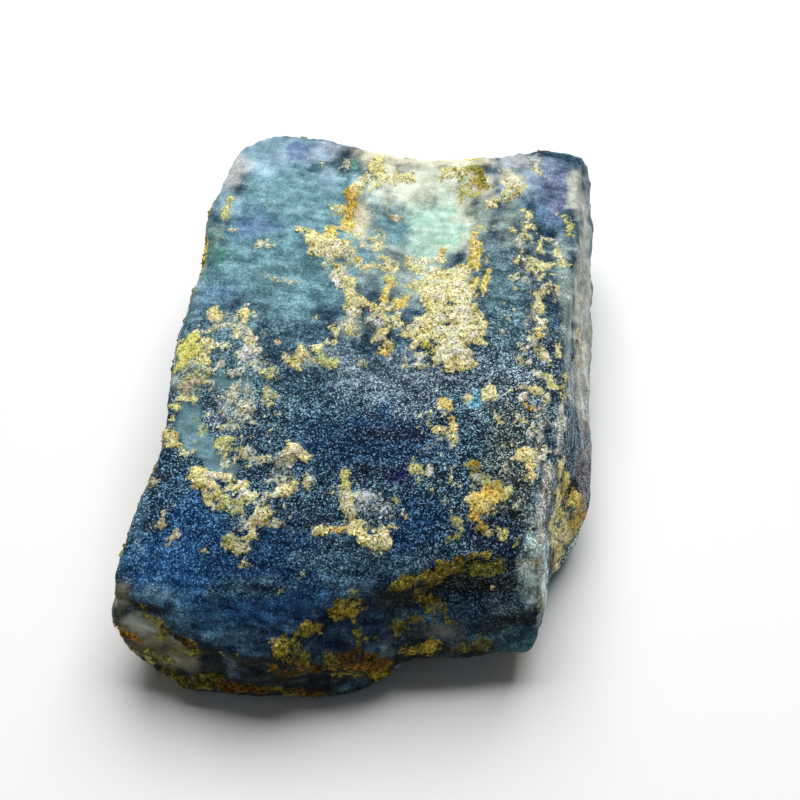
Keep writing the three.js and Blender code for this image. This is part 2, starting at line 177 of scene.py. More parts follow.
# each tone's strokes, as the width and then the two numbers of each point
# on the top, x and y
topCrust = [
    # loose specks between the patches
    ("specks", [(6, -11.8, 2.6, -11.6, -3, -10.4, -8), (4.6, -11.6, -11.6, -8.6, -14.4, -6.6, -10.6),
        (4, -0.6, -13.4, 0.8, -15.6), (3.6, 6.2, -6.4, 5.4, -11.6, 9.4, -13),
        (3.6, 14.2, 12, 14, 4, 13.6, -3, 13.4, -11), (4, -0.5, 4.6, 2.6, 3, 4, -0.6),
        (2, -17, -14.4, -15.8, -16), (2.4, 11.4, 19.4, 14.8, 20.4), (1.6, -9.8, 13.2, -8.4, 12.2),
        (1.6, 12.6, -14.1, 12.7, -16.3)]),
    # the fan, its left lobe and the chain below that
    ("butter", [(2.2, -5, 12.9, -3.9, 12.6, -2.5, 11.9), (1, -1.6, 6.8, -0.5, 5.8, 0.3, 4.9),
        (0.8, 3.3, 7.1, 4, 8.1), (0.8, -0.7, 4.2, -1.5, 3), (0.9, 1.3, 2.7, 0.7, 2.1),
        (0.9, 3.9, 1.4, 4.5, 2.2), (0.9, 5.8, 10.9, 6.5, 11.5, 6.8, 12.3), (0.9, 10.2, 13.8, 10.8, 14.1),
        (1.3, 7.2, -1.1, 8.4, -0.9)]),
    ("cream", [(1.6, -4.5, 11.5, -3.2, 11.1, -1.8, 10.9), (1.2, -2.7, 9.3, -1.6, 8.2, -1.4, 6.8),
        (1, -0.9, 9.7, 0.3, 10, 1.8, 9.6), (0.9, -0.9, 13.5, -0.3, 12.3), (0.9, 0.7, 13.4, 1, 12.2),
        (1.3, 3.8, 10.7, 4.6, 11, 4.4, 10), (0.5, 4.1, 7.7, 4.9, 8.6, 5.6, 8.9),
        (1.2, -1.4, 5.1, -1.5, 3.8, -1, 2.9), (1.2, 0.9, 4.5, 1.6, 3.7, 2.5, 3.6), (0.5, -4.7, 4.5),
        (0.6, -3.2, 3.4, -2.7, 2.7), (0.8, -4.2, 1.2, -3.6, 1.7, -3.1, 1.4),
        (0.7, -0.9, -0.3, -0.3, -0.5), (1, 3.3, 2.4, 4, 2.7), (0.9, -1.5, 13.3, 0, 13.1, 1.2, 13.3),
        (0.4, 1.4, 10.7, 2.4, 10.4), (0.5, -1.1, 4.2, -0.6, 3.8), (1.6, 6, 9.6, 7.4, 9.2, 8.6, 8.6),
        (1.2, 7, 7.8, 8.6, 7.2), (0.7, 10.4, 9.8, 10.8, 9.1), (2.6, 5.6, 7.2, 6.8, 6.1, 8.6, 6.1),
        (2.6, 5.9, 4.4, 7.3, 3.9, 8.7, 4), (2.6, 6.6, 2.2, 7.6, 1.9, 8.7, 1.9),
        (2, 6.4, 0.2, 7.2, 0.2, 7.9, 0.2), (0.5, 10, 14.8, 10.5, 13.6), (0.4, 5.9, -0.7, 6.2, -1.1)]),
    ("yellow", [(0.8, -3.7, 13.9, -3.1, 13.3), (0.9, -2.8, 10.1, -2, 10.1, -1, 10.5),
        (1, -1.9, 15.8, -1.7, 14.5), (0.9, 2.3, 8, 2, 7.1, 1.4, 6), (0.9, 3, 7.7, 3, 6.7, 2.8, 5.7),
        (0.8, 1.4, 0.9, 2, 1.3), (0.9, 2.1, 6.9, 2.6, 6.1, 2, 5), (0.9, 9.8, 14.1, 9.3, 12.5, 9.4, 11),
        (1.1, 9.5, 10.4, 9.6, 8.7, 9.2, 7), (0.8, 5.4, 6.5, 5.5, 4.5, 5.2, 3.1),
        (0.4, 9.5, 6.2, 9.2, 3.8, 9.1, 1.8), (0.6, 10.5, 10.5, 10.6, 9.1, 10.2, 7.9, 9.9, 6.8)]),
    ("white", [(0.5, -3.8, 10.4, -3.4, 9, -2.2, 7.6), (0.9, 6.1, 2.7, 6.6, 2.3),
        (1, 6.2, 0.6, 6.7, -0.2)]),
    ("dust", [(1, -0.7, 8.8, 0.9, 9.3), (1, 3.8, -0.5, 4.9, -0.6),
        (0.9, -2, 9.9, -0.6, 9.3, -0.3, 8.2, -0.7, 6.9), (0.4, -3.3, 10.3, -2.7, 9.4),
        (0.3, 3.2, 1.9, 3.8, 1.4), (0.9, -1.3, 3.8, -0.5, 3, 0.4, 2.5)]),
    ("lime", [(1.1, -3.8, 0, -3.2, -0.5, -2.6, -0.4)]),
    ("lemon", [(1.2, 1.8, 8.4, 2.7, 7.6, 3.5, 7.6), (1, 5.1, 1.2, 5.4, 0.4)]),
    ("green", [(0.8, 6.8, 5.3)]),
    # the back edge and the single bits at the back left
    ("ochre", [(0.9, -1.7, 18.2, -1.6, 16.7, -1.9, 15.8), (0.4, 14.1, 19.3),
        (0.9, 9.2, 19.1, 9.9, 18.5)]),
    ("cream", [(1.1, -1.1, 18.7, -0.4, 19.8, 0.4, 19.1), (0.9, -3.4, 16.6, -2.8, 16.1),
        (0.8, 10.7, 16.2, 11.8, 17.3, 13.3, 18.6, 14.4, 19.5), (1.4, 1.2, 19.8, 2.8, 20.1, 3.9, 19.6),
        (0.9, 6.5, 20.1, 7.8, 20.5, 9.2, 19.6), (0.5, 17, 16), (0.4, 11.8, 20.8, 11.9, 19.3),
        (0.7, 12.3, 17, 14.1, 19, 15, 20.2, 15.4, 21.9), (0.4, -6.2, 14.2, -5.8, 13.6)]),
    ("tan", [(0.6, 1.7, 17.1, 1.9, 16.6), (0.7, 2.2, 15.8, 2.8, 15.6), (0.4, -13.2, 14.6, -11.6, 14)]),
    ("dust", [(2, 12, 20.6, 13.8, 21.2, 15.3, 22.1), (1.2, -4.7, 21.4, -3.6, 21.2, -2.2, 20.6),
        (0.4, 9.3, 16.8, 9.8, 16.1), (0.5, 19.9, 20.6, 20.1, 20.8),
        (0.7, -11.6, 19.6, -10.4, 19.1, -9.2, 18.8)]),
    ("olive", [(1.8, 9.6, 20.4, 10.1, 19.2)]),
    ("butter", [(1.3, 0.4, 21.6, 1.4, 20.6)]),
    ("white", [(0.8, -2.8, 20.8, -2.2, 21.4), (0.5, -12.3, 14.6), (0.7, -9.6, 12.7, -9, 12.3),
        (0.26, -9.5, 9.4, -8, 8.7, -6.4, 8.3)]),
    ("lemon", [(1, 8.6, 19.3, 8.5, 18.5, 8.6, 17.7, 9.3, 18.2)]),
    ("yellow", [(0.6, 8.3, 21.7, 10, 21.9), (0.3, 10.8, 20.8, 10.8, 19.4), (0.5, -3.1, 16.7, -2.7, 16)]),
    ("lime", [(0.3, -14.1, 14.2, -13, 13.2), (0.6, -12.6, 17.9, -13.1, 15.9)]),
    # the right-hand band
    ("cream", [(0.8, 14.6, 15.6, 14.6, 14.4, 13.6, 13.4), (0.8, 13, 13.7, 13.4, 12.3, 13.4, 11.3),
        (1, 14.2, 12.7, 15.1, 12.5, 15.5, 11.6), (1.3, 15.3, 10.3, 14.8, 9.1, 14.1, 9.5),
        (0.8, 17, 11.3, 17.4, 10.3), (0.6, 15.6, 2.3, 16.2, 1.5), (0.5, 16.4, 0.5),
        (0.6, 14.9, 0.8, 15.2, 0), (0.5, 13, 0, 13.1, -0.7), (0.7, 15.4, -2.2, 15.8, -3),
        (0.4, 12.8, -6, 13, -6.6), (0.5, 14.2, -3.3, 14.4, -3.8), (0.25, 14.1, -7.4, 14.4, -7.8),
        (0.6, 13.9, 10.4, 14.1, 9.3, 13.7, 8.1), (0.5, 13.9, 10.6, 15.5, 10.3, 15.7, 9.4, 14.8, 8.6),
        (0.4, 13.4, 13.5, 14, 12.5), (0.4, 14.7, 12.4, 15.4, 11.9), (0.4, 17.5, 11.1, 17.6, 10.6),
        (0.8, 15.9, 7.7, 16.1, 7.2, 15, 6.2, 14.7, 5.1), (0.3, 16.3, 8.7, 16.7, 8.9),
        (0.5, 15.3, 2.8, 16.1, 1.7), (0.5, 18.7, 7.9, 18.6, 5.6, 18.9, 5, 18.4, 2.2),
        (0.9, 14.3, 10.2, 15.2, 9.6, 15.9, 10.1), (1, 14.5, 9.9, 15.6, 9.4, 15.2, 8.6)]),
    ("butter", [(1, 13.5, 10.5, 14, 10)]),
    ("yellow", [(0.6, 13.7, 8.6, 13.8, 7.8), (0.8, 14.5, 2.4, 15.1, 1.9),
        (0.5, 16.9, -1.2, 16.5, -3.6)]),
    ("lime", [(0.9, 17.7, 15.5, 17.8, 14), (0.5, 16.3, 8.9), (0.6, 15.4, -2.1, 15.6, -2.5),
        (0.4, 16.9, -0.8, 16.5, -2.6, 16.5, -3.9)]),
    ("white", [(0.4, 16.8, 12.5), (0.6, 14.1, 4, 15.2, 3.7), (0.35, 13.5, 3.3, 14.1, 3.2),
        (0.5, 17.4, 6.4, 17.9, 6.9)]),
    ("tan", [(0.7, 15.9, 7.7, 16.4, 7.2), (0.5, 16.4, 7.1, 16.1, 6)]),
    ("ochre", [(0.4, 13.3, -4.8, 13.7, -5.3, 14.1, -5.9)]),
    ("gold", [(0.25, 16.7, -2, 16.5, -3.6)]),
    ("dust", [(0.8, 16, -5.4, 16.1, -6.7)]),
    ("lemon", [(0.7, 17.8, 15.4, 18.2, 14.8, 17.9, 13.7)]),
    # the left rim and what lies round the glassy windows
    ("cream", [(0.7, -5.7, 1.1, -5.3, 0.2), (1.2, -14.1, 1.8, -13.5, 1, -14, 0.1),
        (0.6, -15.4, -1.8, -14.2, -1.6, -13.6, -0.7, -13.5, 0.4), (0.8, -15.7, -3.7, -14.9, -3.8),
        (0.7, -15.5, -8.1, -15.3, -8.7), (0.8, -13.6, 3.1, -13.3, 3.6), (0.8, -11.2, 2.2, -10.2, 2.2),
        (1, -7.3, 0.6, -6.9, -0.1), (0.7, -11.5, -1.3, -10.7, -0.9), (0.8, -10.3, -8.9, -9.9, -9.2),
        (0.6, -10.9, -9.4, -11.2, -9.8), (0.5, -7.1, -7.6)]),
    ("lemon", [(1.9, -15.1, 1.5, -15.4, 0.8), (0.8, -13.9, -0.3, -13.7, -1.3, -14, -1.8),
        (0.5, -13.3, 0.6, -12.8, 1), (1.4, -16.3, 1.2, -15.7, 0.3, -15.9, -0.8)]),
    ("lime", [(1.7, -15.1, -0.9, -14.4, -1.1), (0.9, -16.6, -4.4, -16.2, -4.6), (0.8, -16.4, -5.8),
        (1.2, -9, -1.4, -7.9, -1.2), (1.1, -8.5, -3.1, -8.2, -4), (1.2, -12.4, -8.3, -11.2, -8),
        (0.9, -15.5, -0.4, -15.1, -1.2, -15.4, -2)]),
    ("tan", [(1.3, -15.6, -2.6, -14.7, -2.3), (0.6, -8.9, 2.7, -8.6, 2.5), (0.7, -8.1, 1.9, -7.9, 1.7),
        (0.6, -9.1, -9.4, -8.8, -9.7), (0.5, -7.8, -6.7)]),
    ("yellow", [(1.3, -16.9, -6.9, -16.6, -7.5)]),
    ("butter", [(0.9, -16.6, -7.9, -16.3, -7.8), (1.1, -13.5, 5, -13, 4.6),
        (1.1, -10.9, 5.1, -10.6, 4.2, -11, 3.2), (1.1, -6.1, -0.4, -5.8, 0.5),
        (1, -11.9, -3.3, -11.3, -3.8), (1, -10.7, -5, -9.9, -4.7), (0.8, -11.9, -9, -12.2, -8.6),
        (1.3, -6.9, -9.6, -6.2, -9.3, -5.3, -9.6)]),
    ("dust", [(1.4, -12.2, 4.7, -11.8, 4), (2.2, -9.9, -0.1, -9.3, -0.2), (2.6, -10.3, -3.2, -9.7, -4),
        (2.2, -12.3, -4, -10.7, -5.6), (0.4, -16.6, -3.4, -16.8, -4.4), (0.6, -6.1, 0.5, -5.4, -0.1)]),
    ("white", [(0.9, -13.1, 1.8, -12.5, 1.4), (1, -10.4, 0.9, -9.6, 1),
        (0.5, -13.4, -4.9, -13.4, -5.6)]),
    ("green", [(0.9, -14.3, -5.7, -13.9, -6.3)]),
    # the front half: the forked patch at the left, the broad one in the middle and those to its right
    ("butter", [(1, -14.2, -10.6, -12.8, -11.1, -11.4, -11.1),
        (1, -13.7, -11.8, -12.7, -11.8, -12.5, -12.5, -12.9, -13),
        (1.2, -8.1, -12.9, -7.1, -12.5, -6.1, -12.1), (1.3, -8.2, -14.2, -9, -15.3),
        (0.6, -4.2, -16, -3.7, -15.9), (1.4, -0.8, -16.1, 0.2, -16.9, 1.4, -17.2, 1.8, -16.3),
        (0.8, 5.9, -7.1, 6.7, -7.4, 7.2, -7.2), (0.8, 13.5, -10.9, 13.5, -11.6, 13.4, -12.2),
        (1.1, 12.7, -10, 13.4, -9.6)]),
    ("cream", [(0.8, -11.2, -12.1, -10.1, -12), (0.8, -10, -12.8, -8.6, -12.9),
        (1.1, -10.9, -17.1, -9.8, -17.1, -9.1, -16.4), (1, -9.9, -18.5), (0.9, -5, -11.2, -4.5, -11.9),
        (0.4, -13.2, -17.4), (0.4, -3.6, -15.9, -2.6, -16), (1.2, -1.5, -13.4, -1.3, -14.8),
        (0.6, 5, -12.9), (0.5, 3.2, -15), (0.4, -0.7, -13.8, -0.9, -14.8, -0.2, -15.7, 0.3, -16.4),
        (0.8, 7.2, -8.1, 7.5, -8.5), (0.6, 8.5, -4.4), (0.7, 10.2, -3.4, 10.3, -4.3),
        (0.8, 10.9, -6, 11, -6.6), (0.7, 12.7, -9.9, 13.3, -9.7), (0.5, 11.5, -10.9, 11.5, -11.2)]),
    ("lime", [(1.3, -11.5, -13.4, -10.7, -13.9), (0.8, -11.4, -16.2, -11.1, -16.7), (0.5, -7, -20.6),
        (1, -1.7, -11.4, -1.7, -12.5), (0.4, 2.5, -13.6), (0.9, 4, -10.7, 4.4, -11.8), (0.5, 1.4, -18.2),
        (0.8, 7.3, -15.6, 7.7, -16.2), (1, 5.2, -6, 5.6, -6.7), (0.6, 11.5, -13.4, 11.8, -12.9),
        (0.4, 9.8, -11.2, 10.3, -12), (0.7, 11.1, -14.5, 10.5, -15.2, 9.8, -15.5),
        (0.5, 6.9, -11.6, 7.1, -12.1)]),
    ("dust", [(1, -10, -14.7, -10, -15.8), (2, -7.1, -10.3, -7.2, -11.4),
        (0.8, -7.8, -15.1, -6.9, -15.3), (0.9, -5.1, -19.4, -2.9, -19.4), (3, 0, -14.1, 1, -14.8),
        (0.4, 0.9, -13.7, 1.7, -14.1, 2.1, -14.9, 1.8, -15.6), (1.6, 4.9, -8.8, 6.6, -8.7),
        (0.8, 10.9, -7.5, 11.2, -7.9)]),
    ("tan", [(0.8, -17.6, -11.5), (1, -16.9, -15.3), (0.8, -15.5, -15.8), (0.5, -6.1, -16.1),
        (0.5, 5, -13.9), (0.5, 9.1, -6.4)]),
    ("ochre", [(0.5, -2.3, -16, -1.8, -15.9), (1.3, 9.2, -13.9, 9.8, -13.4, 10.7, -13.6),
        (1.2, 9, -15.1, 9.3, -16.2)]),
    ("white", [(0.4, -2.1, -17.2), (0.6, 11.5, -10.7), (0.5, 8.3, -13.8, 8.3, -14.4)]),
    ("yellow", [(1.1, 6.4, -4.8, 7, -5.6), (0.8, 13.3, -11.1, 13.6, -11.9),
        (1.5, 8.9, -14.3, 9.7, -14.7, 10.3, -14.2)]),
    ("gold", [(0.8, 8.7, -10.6, 9.2, -11.1)]),
    ("umber", [(0.5, 9.1, -11.3, 9.5, -11.7)]),
    ("olive", [(0.9, 9.5, -11.6, 9.8, -12.3), (0.5, 8.7, -12.3, 8.8, -12.9),
        (0.9, 10.6, -12.6, 11.1, -13.6), (0.7, 8.8, -11.2, 9.1, -12.3, 8.8, -12.9)]),
    # along the front edge and down the ridge
    ("moss", [(1.2, 5.3, -19.4, 6.5, -19, 7.7, -18.8)]),
    ("olive", [(1.7, 9.1, -18.8, 9.9, -18.9, 10.8, -18.8), (0.5, 12, -17.7, 12.4, -17.4),
        (0.6, 6.9, -17, 7.4, -16.8, 7.4, -16.2)]),
    ("gold", [(0.6, 8.6, -18.3, 9.8, -18.3, 10.8, -18.4)]),
    ("umber", [(0.5, 7, -18.5, 8.5, -18.4)]),
    ("cream", [(0.5, 12.5, -18.4, 13.8, -18.5), (0.5, 14, -20.5, 14.4, -21)]),
    ("lime", [(0.7, 11.2, -16.7, 11.3, -17.1), (0.7, 10, -16.6, 10.4, -16.5)]),
    ("tan", [(0.4, 12.3, -18.5, 12.9, -18.5)]),
]

# on the front wall, x and z
frontCrust = [
    ("olive", [(0.85, 2.2, 10.2, 3.1, 10.5, 3.9, 10.4, 4.8, 10.5), (1.15, -2.1, 9.7, -1.1, 9.7, -1, 9.3),
        (0.7, -18.4, 8.4, -17.4, 7.8, -16.8, 7.2), (0.9, -16.8, 6, -15.6, 5.8, -14.4, 5.8),
        (0.8, -17.9, 4.3, -17, 4.2, -16, 4)]),
    ("gold", [(1.15, 2.7, 10.1, 3.9, 10.1, 5, 10.1, 6.2, 10.2), (0.85, 4.8, 10.5, 5.8, 10.6, 7, 10.6),
        (0.25, 6.5, 7.3, 6.7, 7, 6.6, 6.7, 6.7, 6.5), (0.7, 3.9, 7.2, 3.3, 7, 2.7, 6.8),
        (1.15, 3.2, 4.3, 4.3, 4.4, 5.6, 4.9), (0.2, 8.4, 5.1, 8.8, 5.2), (0.2, -0.7, 7.2, -0.3, 6.6),
        (1.75, -2.4, 8.7, -1.7, 9.1, -1.1, 9), (0.85, -5.4, 8.2, -4.8, 8.3, -4.2, 8),
        (1.6, -6.5, 7.5, -6.7, 7.1, -6.2, 6.5), (0.85, -2.4, 3.2, -1.2, 3.1, -0.1, 3.1, 1.5, 2.7),
        (0.7, -14.3, 7.2, -13.7, 6.9, -13.6, 6.2), (0.5, -20.3, 4.4, -19.4, 4.2, -18.6, 3.6),
        (1, 3.3, 4.2, 4.4, 4.5, 5.3, 4.9), (0.15, 9.1, 5.3, 9.5, 5.4),
        (1.1, 3.8, 9.2, 4.4, 9, 5, 7.9, 5.3, 7.6), (0.5, 2, 3.8, 1.8, 3.1),
        (0.3, 5, 10.9, 6.9, 11.2, 8.5, 11.5, 10.8, 11.4)]),
    ("umber", [(0.85, 3.1, 9.7, 4.3, 9.5, 5.4, 9.4), (0.85, -2.1, 8.5, -1.5, 8.6),
        (0.85, -4.9, 5.4, -4.2, 4.5), (1.6, -2, 5.2, -0.8, 5.3, 0.5, 4.9, 1.9, 3.5),
        (0.6, -14.8, 6.6, -13.8, 6.4), (0.85, -15.3, 2, -14.1, 2.3),
        (1.15, -11.7, 2.6, -10.9, 2.7, -9.3, 2.7, -8, 2.6), (1, -7.2, 5.6, -6.3, 5, -5.1, 4.9),
        (1, -5.3, 1.9, -3.9, 1.4), (0.55, 14.1, 7.2), (0.5, 7.4, 9.9, 7.2, 9.1)]),
    ("moss", [(1.15, 3.9, 9.2, 4.5, 8.3, 5.1, 7.7, 5.6, 7.5), (1.15, 3.9, 7, 3.2, 6.6, 2.6, 6.4),
        (0.85, 4.3, 6.7, 5.4, 6.5), (0.85, 8.2, 5, 9, 5.1, 9.8, 4.8, 10.4, 4.5),
        (0.85, -1, 7.4, -0.5, 7, -0.2, 6.2, 0.4, 5.8), (0.55, 1, 6.3, 0.7, 6.1),
        (0.85, -0.9, 10.2, -0.5, 10.4), (0.85, -5.6, 8.1, -4.5, 7.9, -3.8, 7.6),
        (1.6, -6.2, 7.7, -5.7, 7, -5.2, 6.3), (1.3, -6.6, 6.1, -5.6, 5.7, -4.9, 5.4),
        (0.85, -2.9, 5.8, -2.9, 5, -2.6, 4.7), (0.9, -17, 7.6, -16.4, 7.2, -16.4, 6.6),
        (0.85, -17.3, 3.7, -16.7, 2.8, -17, 2.3), (1.15, -16, 2.5, -15.1, 2.3, -14.3, 2.8, -13.7, 2.4),
        (1.15, -13.5, 3.3, -12.7, 2.7, -12.9, 2.3), (0.2, -10.3, 6.9, -9.3, 6.4, -8.8, 6.1),
        (1, -7.5, 2.7, -6.6, 1.9, -5.3, 1.5), (0.85, 4.3, 8.6, 5.1, 7.8, 5.5, 7.6),
        (0.5, 5.4, 9.1, 6.1, 9.3), (0.9, 3.9, 7.3, 4.3, 6.9, 4.9, 6.5), (0.6, 2.2, 5.9, 2.4, 6),
        (0.4, 6.4, 7.3, 6.6, 6.6, 7.3, 6), (0.8, 8.7, 5.1, 9.3, 4.7, 10, 4.3), (0.5, 7.1, 4.5, 8.3, 4.4),
        (0.8, -0.1, 6.5, 0.2, 5.8, -0.2, 5.7)]),
    ("rust", [(0.85, -6.5, 7.4, -6.4, 7), (0.85, -1.4, 4.5, 0, 4.3, 1.3, 3.4)]),
    ("lime", [(0.3, -20.1, 8.5, -20.3, 8.2), (0.8, -18.6, 3.9, -17.6, 3.3)]),
    ("brown", [(0.9, -16, 7.2, -15.2, 7, -14.4, 6.9)]),
    ("amber", [(0.7, -20.6, 5.6, -19.8, 5.4, -18.8, 5.3, -18.2, 5),
        (0.62, -7.5, 6, -6.5, 6, -5.7, 5.6, -4.8, 5.1)]),
    ("cream", [(0.12, -14.3, 2.6), (0.2, 10.3, 8.9)]),
    ("tan", [(0.15, -12.8, 7.1, -11.5, 6.5), (0.12, 12.6, 6.1)]),
    ("lemon", [(0.4, -1.1, 10.2, -1, 10.3)]),
]

# on the right wall, y and z
rightCrust = [
    ("butter", [(1.4, -9.8, 12, -11.3, 11.4, -11.3, 8.7, -12.6, 9.6, -14.6, 10.2),
        (2, -13.8, 10, -14.6, 8.6, -14.2, 6.6, -13.6, 5.2), (1.8, -13.4, 5.6, -13.9, 3.9, -14.4, 3),
        (1.6, -11.8, 7.6, -12.2, 6.2, -12.6, 4.8)]),
    ("yellow", [(1.2, -9.8, 10.6, -10.3, 9.4, -10.8, 7.9), (1.6, -10.5, 7.6, -10.6, 5.8, -11.3, 5.2),
        (0.2, 4.4, 10.1, 4.2, 8.5)]),
    ("amber", [(1.2, -10.2, 6.6, -10.4, 5.8, -11, 5.2), (0.6, -9.8, 5.4, -10.4, 4.7),
        (0.6, -14.3, 4.5, -14.8, 4.3)]),
    ("umber", [(0.3, -11.3, 7.3, -11.8, 5.8)]),
    ("lemon", [(1.2, -11.8, 4.6, -12.6, 4.2)]),
    ("dust", [(0.6, 4.1, 10, 3.9, 8.5)]),
]

# on the left wall, y and z
leftCrust = [
    ("umber", [(0.3, -20, 9, -17, 10.2, -12, 11.4, -8, 12, -2, 12.4, 3, 12.6)]),
    ("yellow", [(0.5, 9, 12.4, 14, 12.8)]),
    ("olive", [(1.4, -15, 6, -10, 5, -6, 6.4)]),
    ("dust", [(1.8, 2, 6, 7, 7)]),
]


# how squarely a place faces one way, from where it begins to belong to that face to all of it
facing = dict(top=(0.35, 0.75), underside=(0.45, 0.8), wall=(0.3, 0.7))


def faceShares(normals):
    # how much each place belongs to the top, the underside and each wall
    x, y, z = normals.T
    shares = dict(top=ramp(z, *facing["top"]), underside=ramp(-z, *facing["underside"]))
    for face, squarely in dict(front=-y, back=y, right=x, left=-x).items():
        shares[face] = ramp(squarely, *facing["wall"])
    return shares


def drapeStroke(surface, numbers, start, direction):
    # drops a stroke's flat points on to the stone along one direction
    line = []
    for a, b in zip(numbers[::2], numbers[1::2]):
        hit = surface.ray_cast(Vector(start(a, b)) * mm, Vector(direction))[0]
        if hit is not None:
            line.append(np.array(hit) / mm)
    return line


def awayFromLine(places, line):
    # how far each place is from a bent line
    best = np.full(len(places), 1e9)
    pairs = list(zip(line, line[1:])) or [(line[0], line[0])]
    for a, b in pairs:
        along = b - a
        length = max(along @ along, 1e-9)
        share = np.clip(((places - a) @ along) / length, 0, 1)
        gap = places - a - share[:, None] * along
        best = np.minimum(best, np.einsum("ij,ij->i", gap, gap))
    return np.sqrt(best)


# how the crust grows out from its strokes
crustGrowth = dict(
    bays=(1.4, 0.8),          # wavelength and depth of the bays in a ragged edge
    nibbles=(0.6, 0.7),
    raggedness=(0.35, 0.25),  # of any stroke, and more with its width
    fade=0.9,                 # how far the cover fades at an edge
    liftEdge=(-0.1, 0.5),     # how deep inside a patch it begins to stand up, and is full
    looseEdge=(-0.2, 0.2),
    tintEdge=(-0.1, 0.8),
    specks=(0.9, 8, 0.24, 0.40),    # size and seed of the patches, and where they begin and are full
    worn=(1.6, 14, -0.05, 0.35),
    clots=(0.9, 9, 0.0, 0.4),
    speckGap=0.8,
    wearing=0.42,             # how much thinner the worn places are
    fan=((7.4, 4.0, 13.5), (3.2, 6.0, 4)),  # the closed fan's middle and reach
    fanEdge=(1.3, 0.4),       # how far out it ends, and how softly
    edgeTint=(0.05, 0.10, 0.40),
    clotTint=0.35,
    blotchSize=1.2,
    blotch=0.22,
    bare=(0.5, 0.47, 0.3),
)


def layCrust(piece, places):
    grow = crustGrowth
    surface = BVHTree.FromObject(piece, bpy.context.evaluated_depsgraph_get())
    ragged = grow["bays"][1] * cloud(places, grow["bays"][0], 4)
    ragged = ragged + grow["nibbles"][1] * cloud(places, grow["nibbles"][0], 5, 2)
    spots = patches(places, *grow["specks"])
    cover, lift, loose = np.zeros((3, len(places)))
    deepest = np.full(len(places), -1.0)
    colour = np.zeros((len(places), 3))
    total = np.full(len(places), 1e-6)
    walls = [
        (topCrust, lambda a, b: (a, b, 40), (0, 0, -1)),
        (frontCrust, lambda a, b: (a, -60, b), (0, 1, 0)),
        (rightCrust, lambda a, b: (60, a, b), (-1, 0, 0)),
        (leftCrust, lambda a, b: (-60, a, b), (1, 0, 0)),
    ]
    laid = [
        (start, direction, tone, stroke)
        for wall, start, direction in walls for tone, strokes in wall for stroke in strokes
    ]
    for start, direction, tone, (width, *numbers) in laid:
        line = drapeStroke(surface, numbers, start, direction)
        if not line:
            continue
        shade, height, closed, grainy = crustTones[tone]
        uneven = grow["raggedness"][0] + grow["raggedness"][1] * width
        inside = 0.02 + width / 2 - awayFromLine(places, line) + ragged * uneven
        if tone == "specks":
            inside = inside * spots - grow["speckGap"] * (1 - spots)
        cover = np.maximum(cover, np.clip(0.5 + inside / grow["fade"], 0, 1) * closed)
        lift = np.maximum(lift, ramp(inside, *grow["liftEdge"]) * height)
        loose = np.maximum(loose, ramp(inside, *grow["looseEdge"]) * grainy)
        deepest = np.maximum(deepest, inside)
        # where patches meet, their colours run together
        weight = np.clip(inside + 0.5, 0, None) ** 3
        colour += weight[:, None] * np.array(shade)
        total += weight
    colour = np.where(total[:, None] > 1e-4, colour / total[:, None], grow["bare"])
    # worn thin in places, so that the rock shows between the grains, but not on the fan
    middle, reach = grow["fan"]
    end, softness = grow["fanEdge"]
    fan = ramp(end - np.linalg.norm((places - middle) / reach, axis=1), 0, softness)
    thin = patches(places, *grow["worn"]) * (1 - fan)
    cover = cover * (1 - grow["wearing"] * thin)
    # yellower towards a patch's edge, with whiter clots inside it
    edge = 1 - ramp(deepest, *grow["tintEdge"])
    clots = patches(places, *grow["clots"])
    colour = colour * (1 - edge[:, None] * grow["edgeTint"])
    colour[:, 2] = colour[:, 2] * (1 + grow["clotTint"] * clots)
    colour = colour * (1 + grow["blotch"] * cloud(places, grow["blotchSize"], 10))[:, None]
    return cover, lift, loose, colour


places = readPlaces(stone)
shares = faceShares(readRows(stone.data.vertex_normals, "vector"))
crustCover, crustLift, crustLoose, crustColour = layCrust(stone, places)
print("crust laid on", int((crustCover > 0.5).sum()), "vertices")


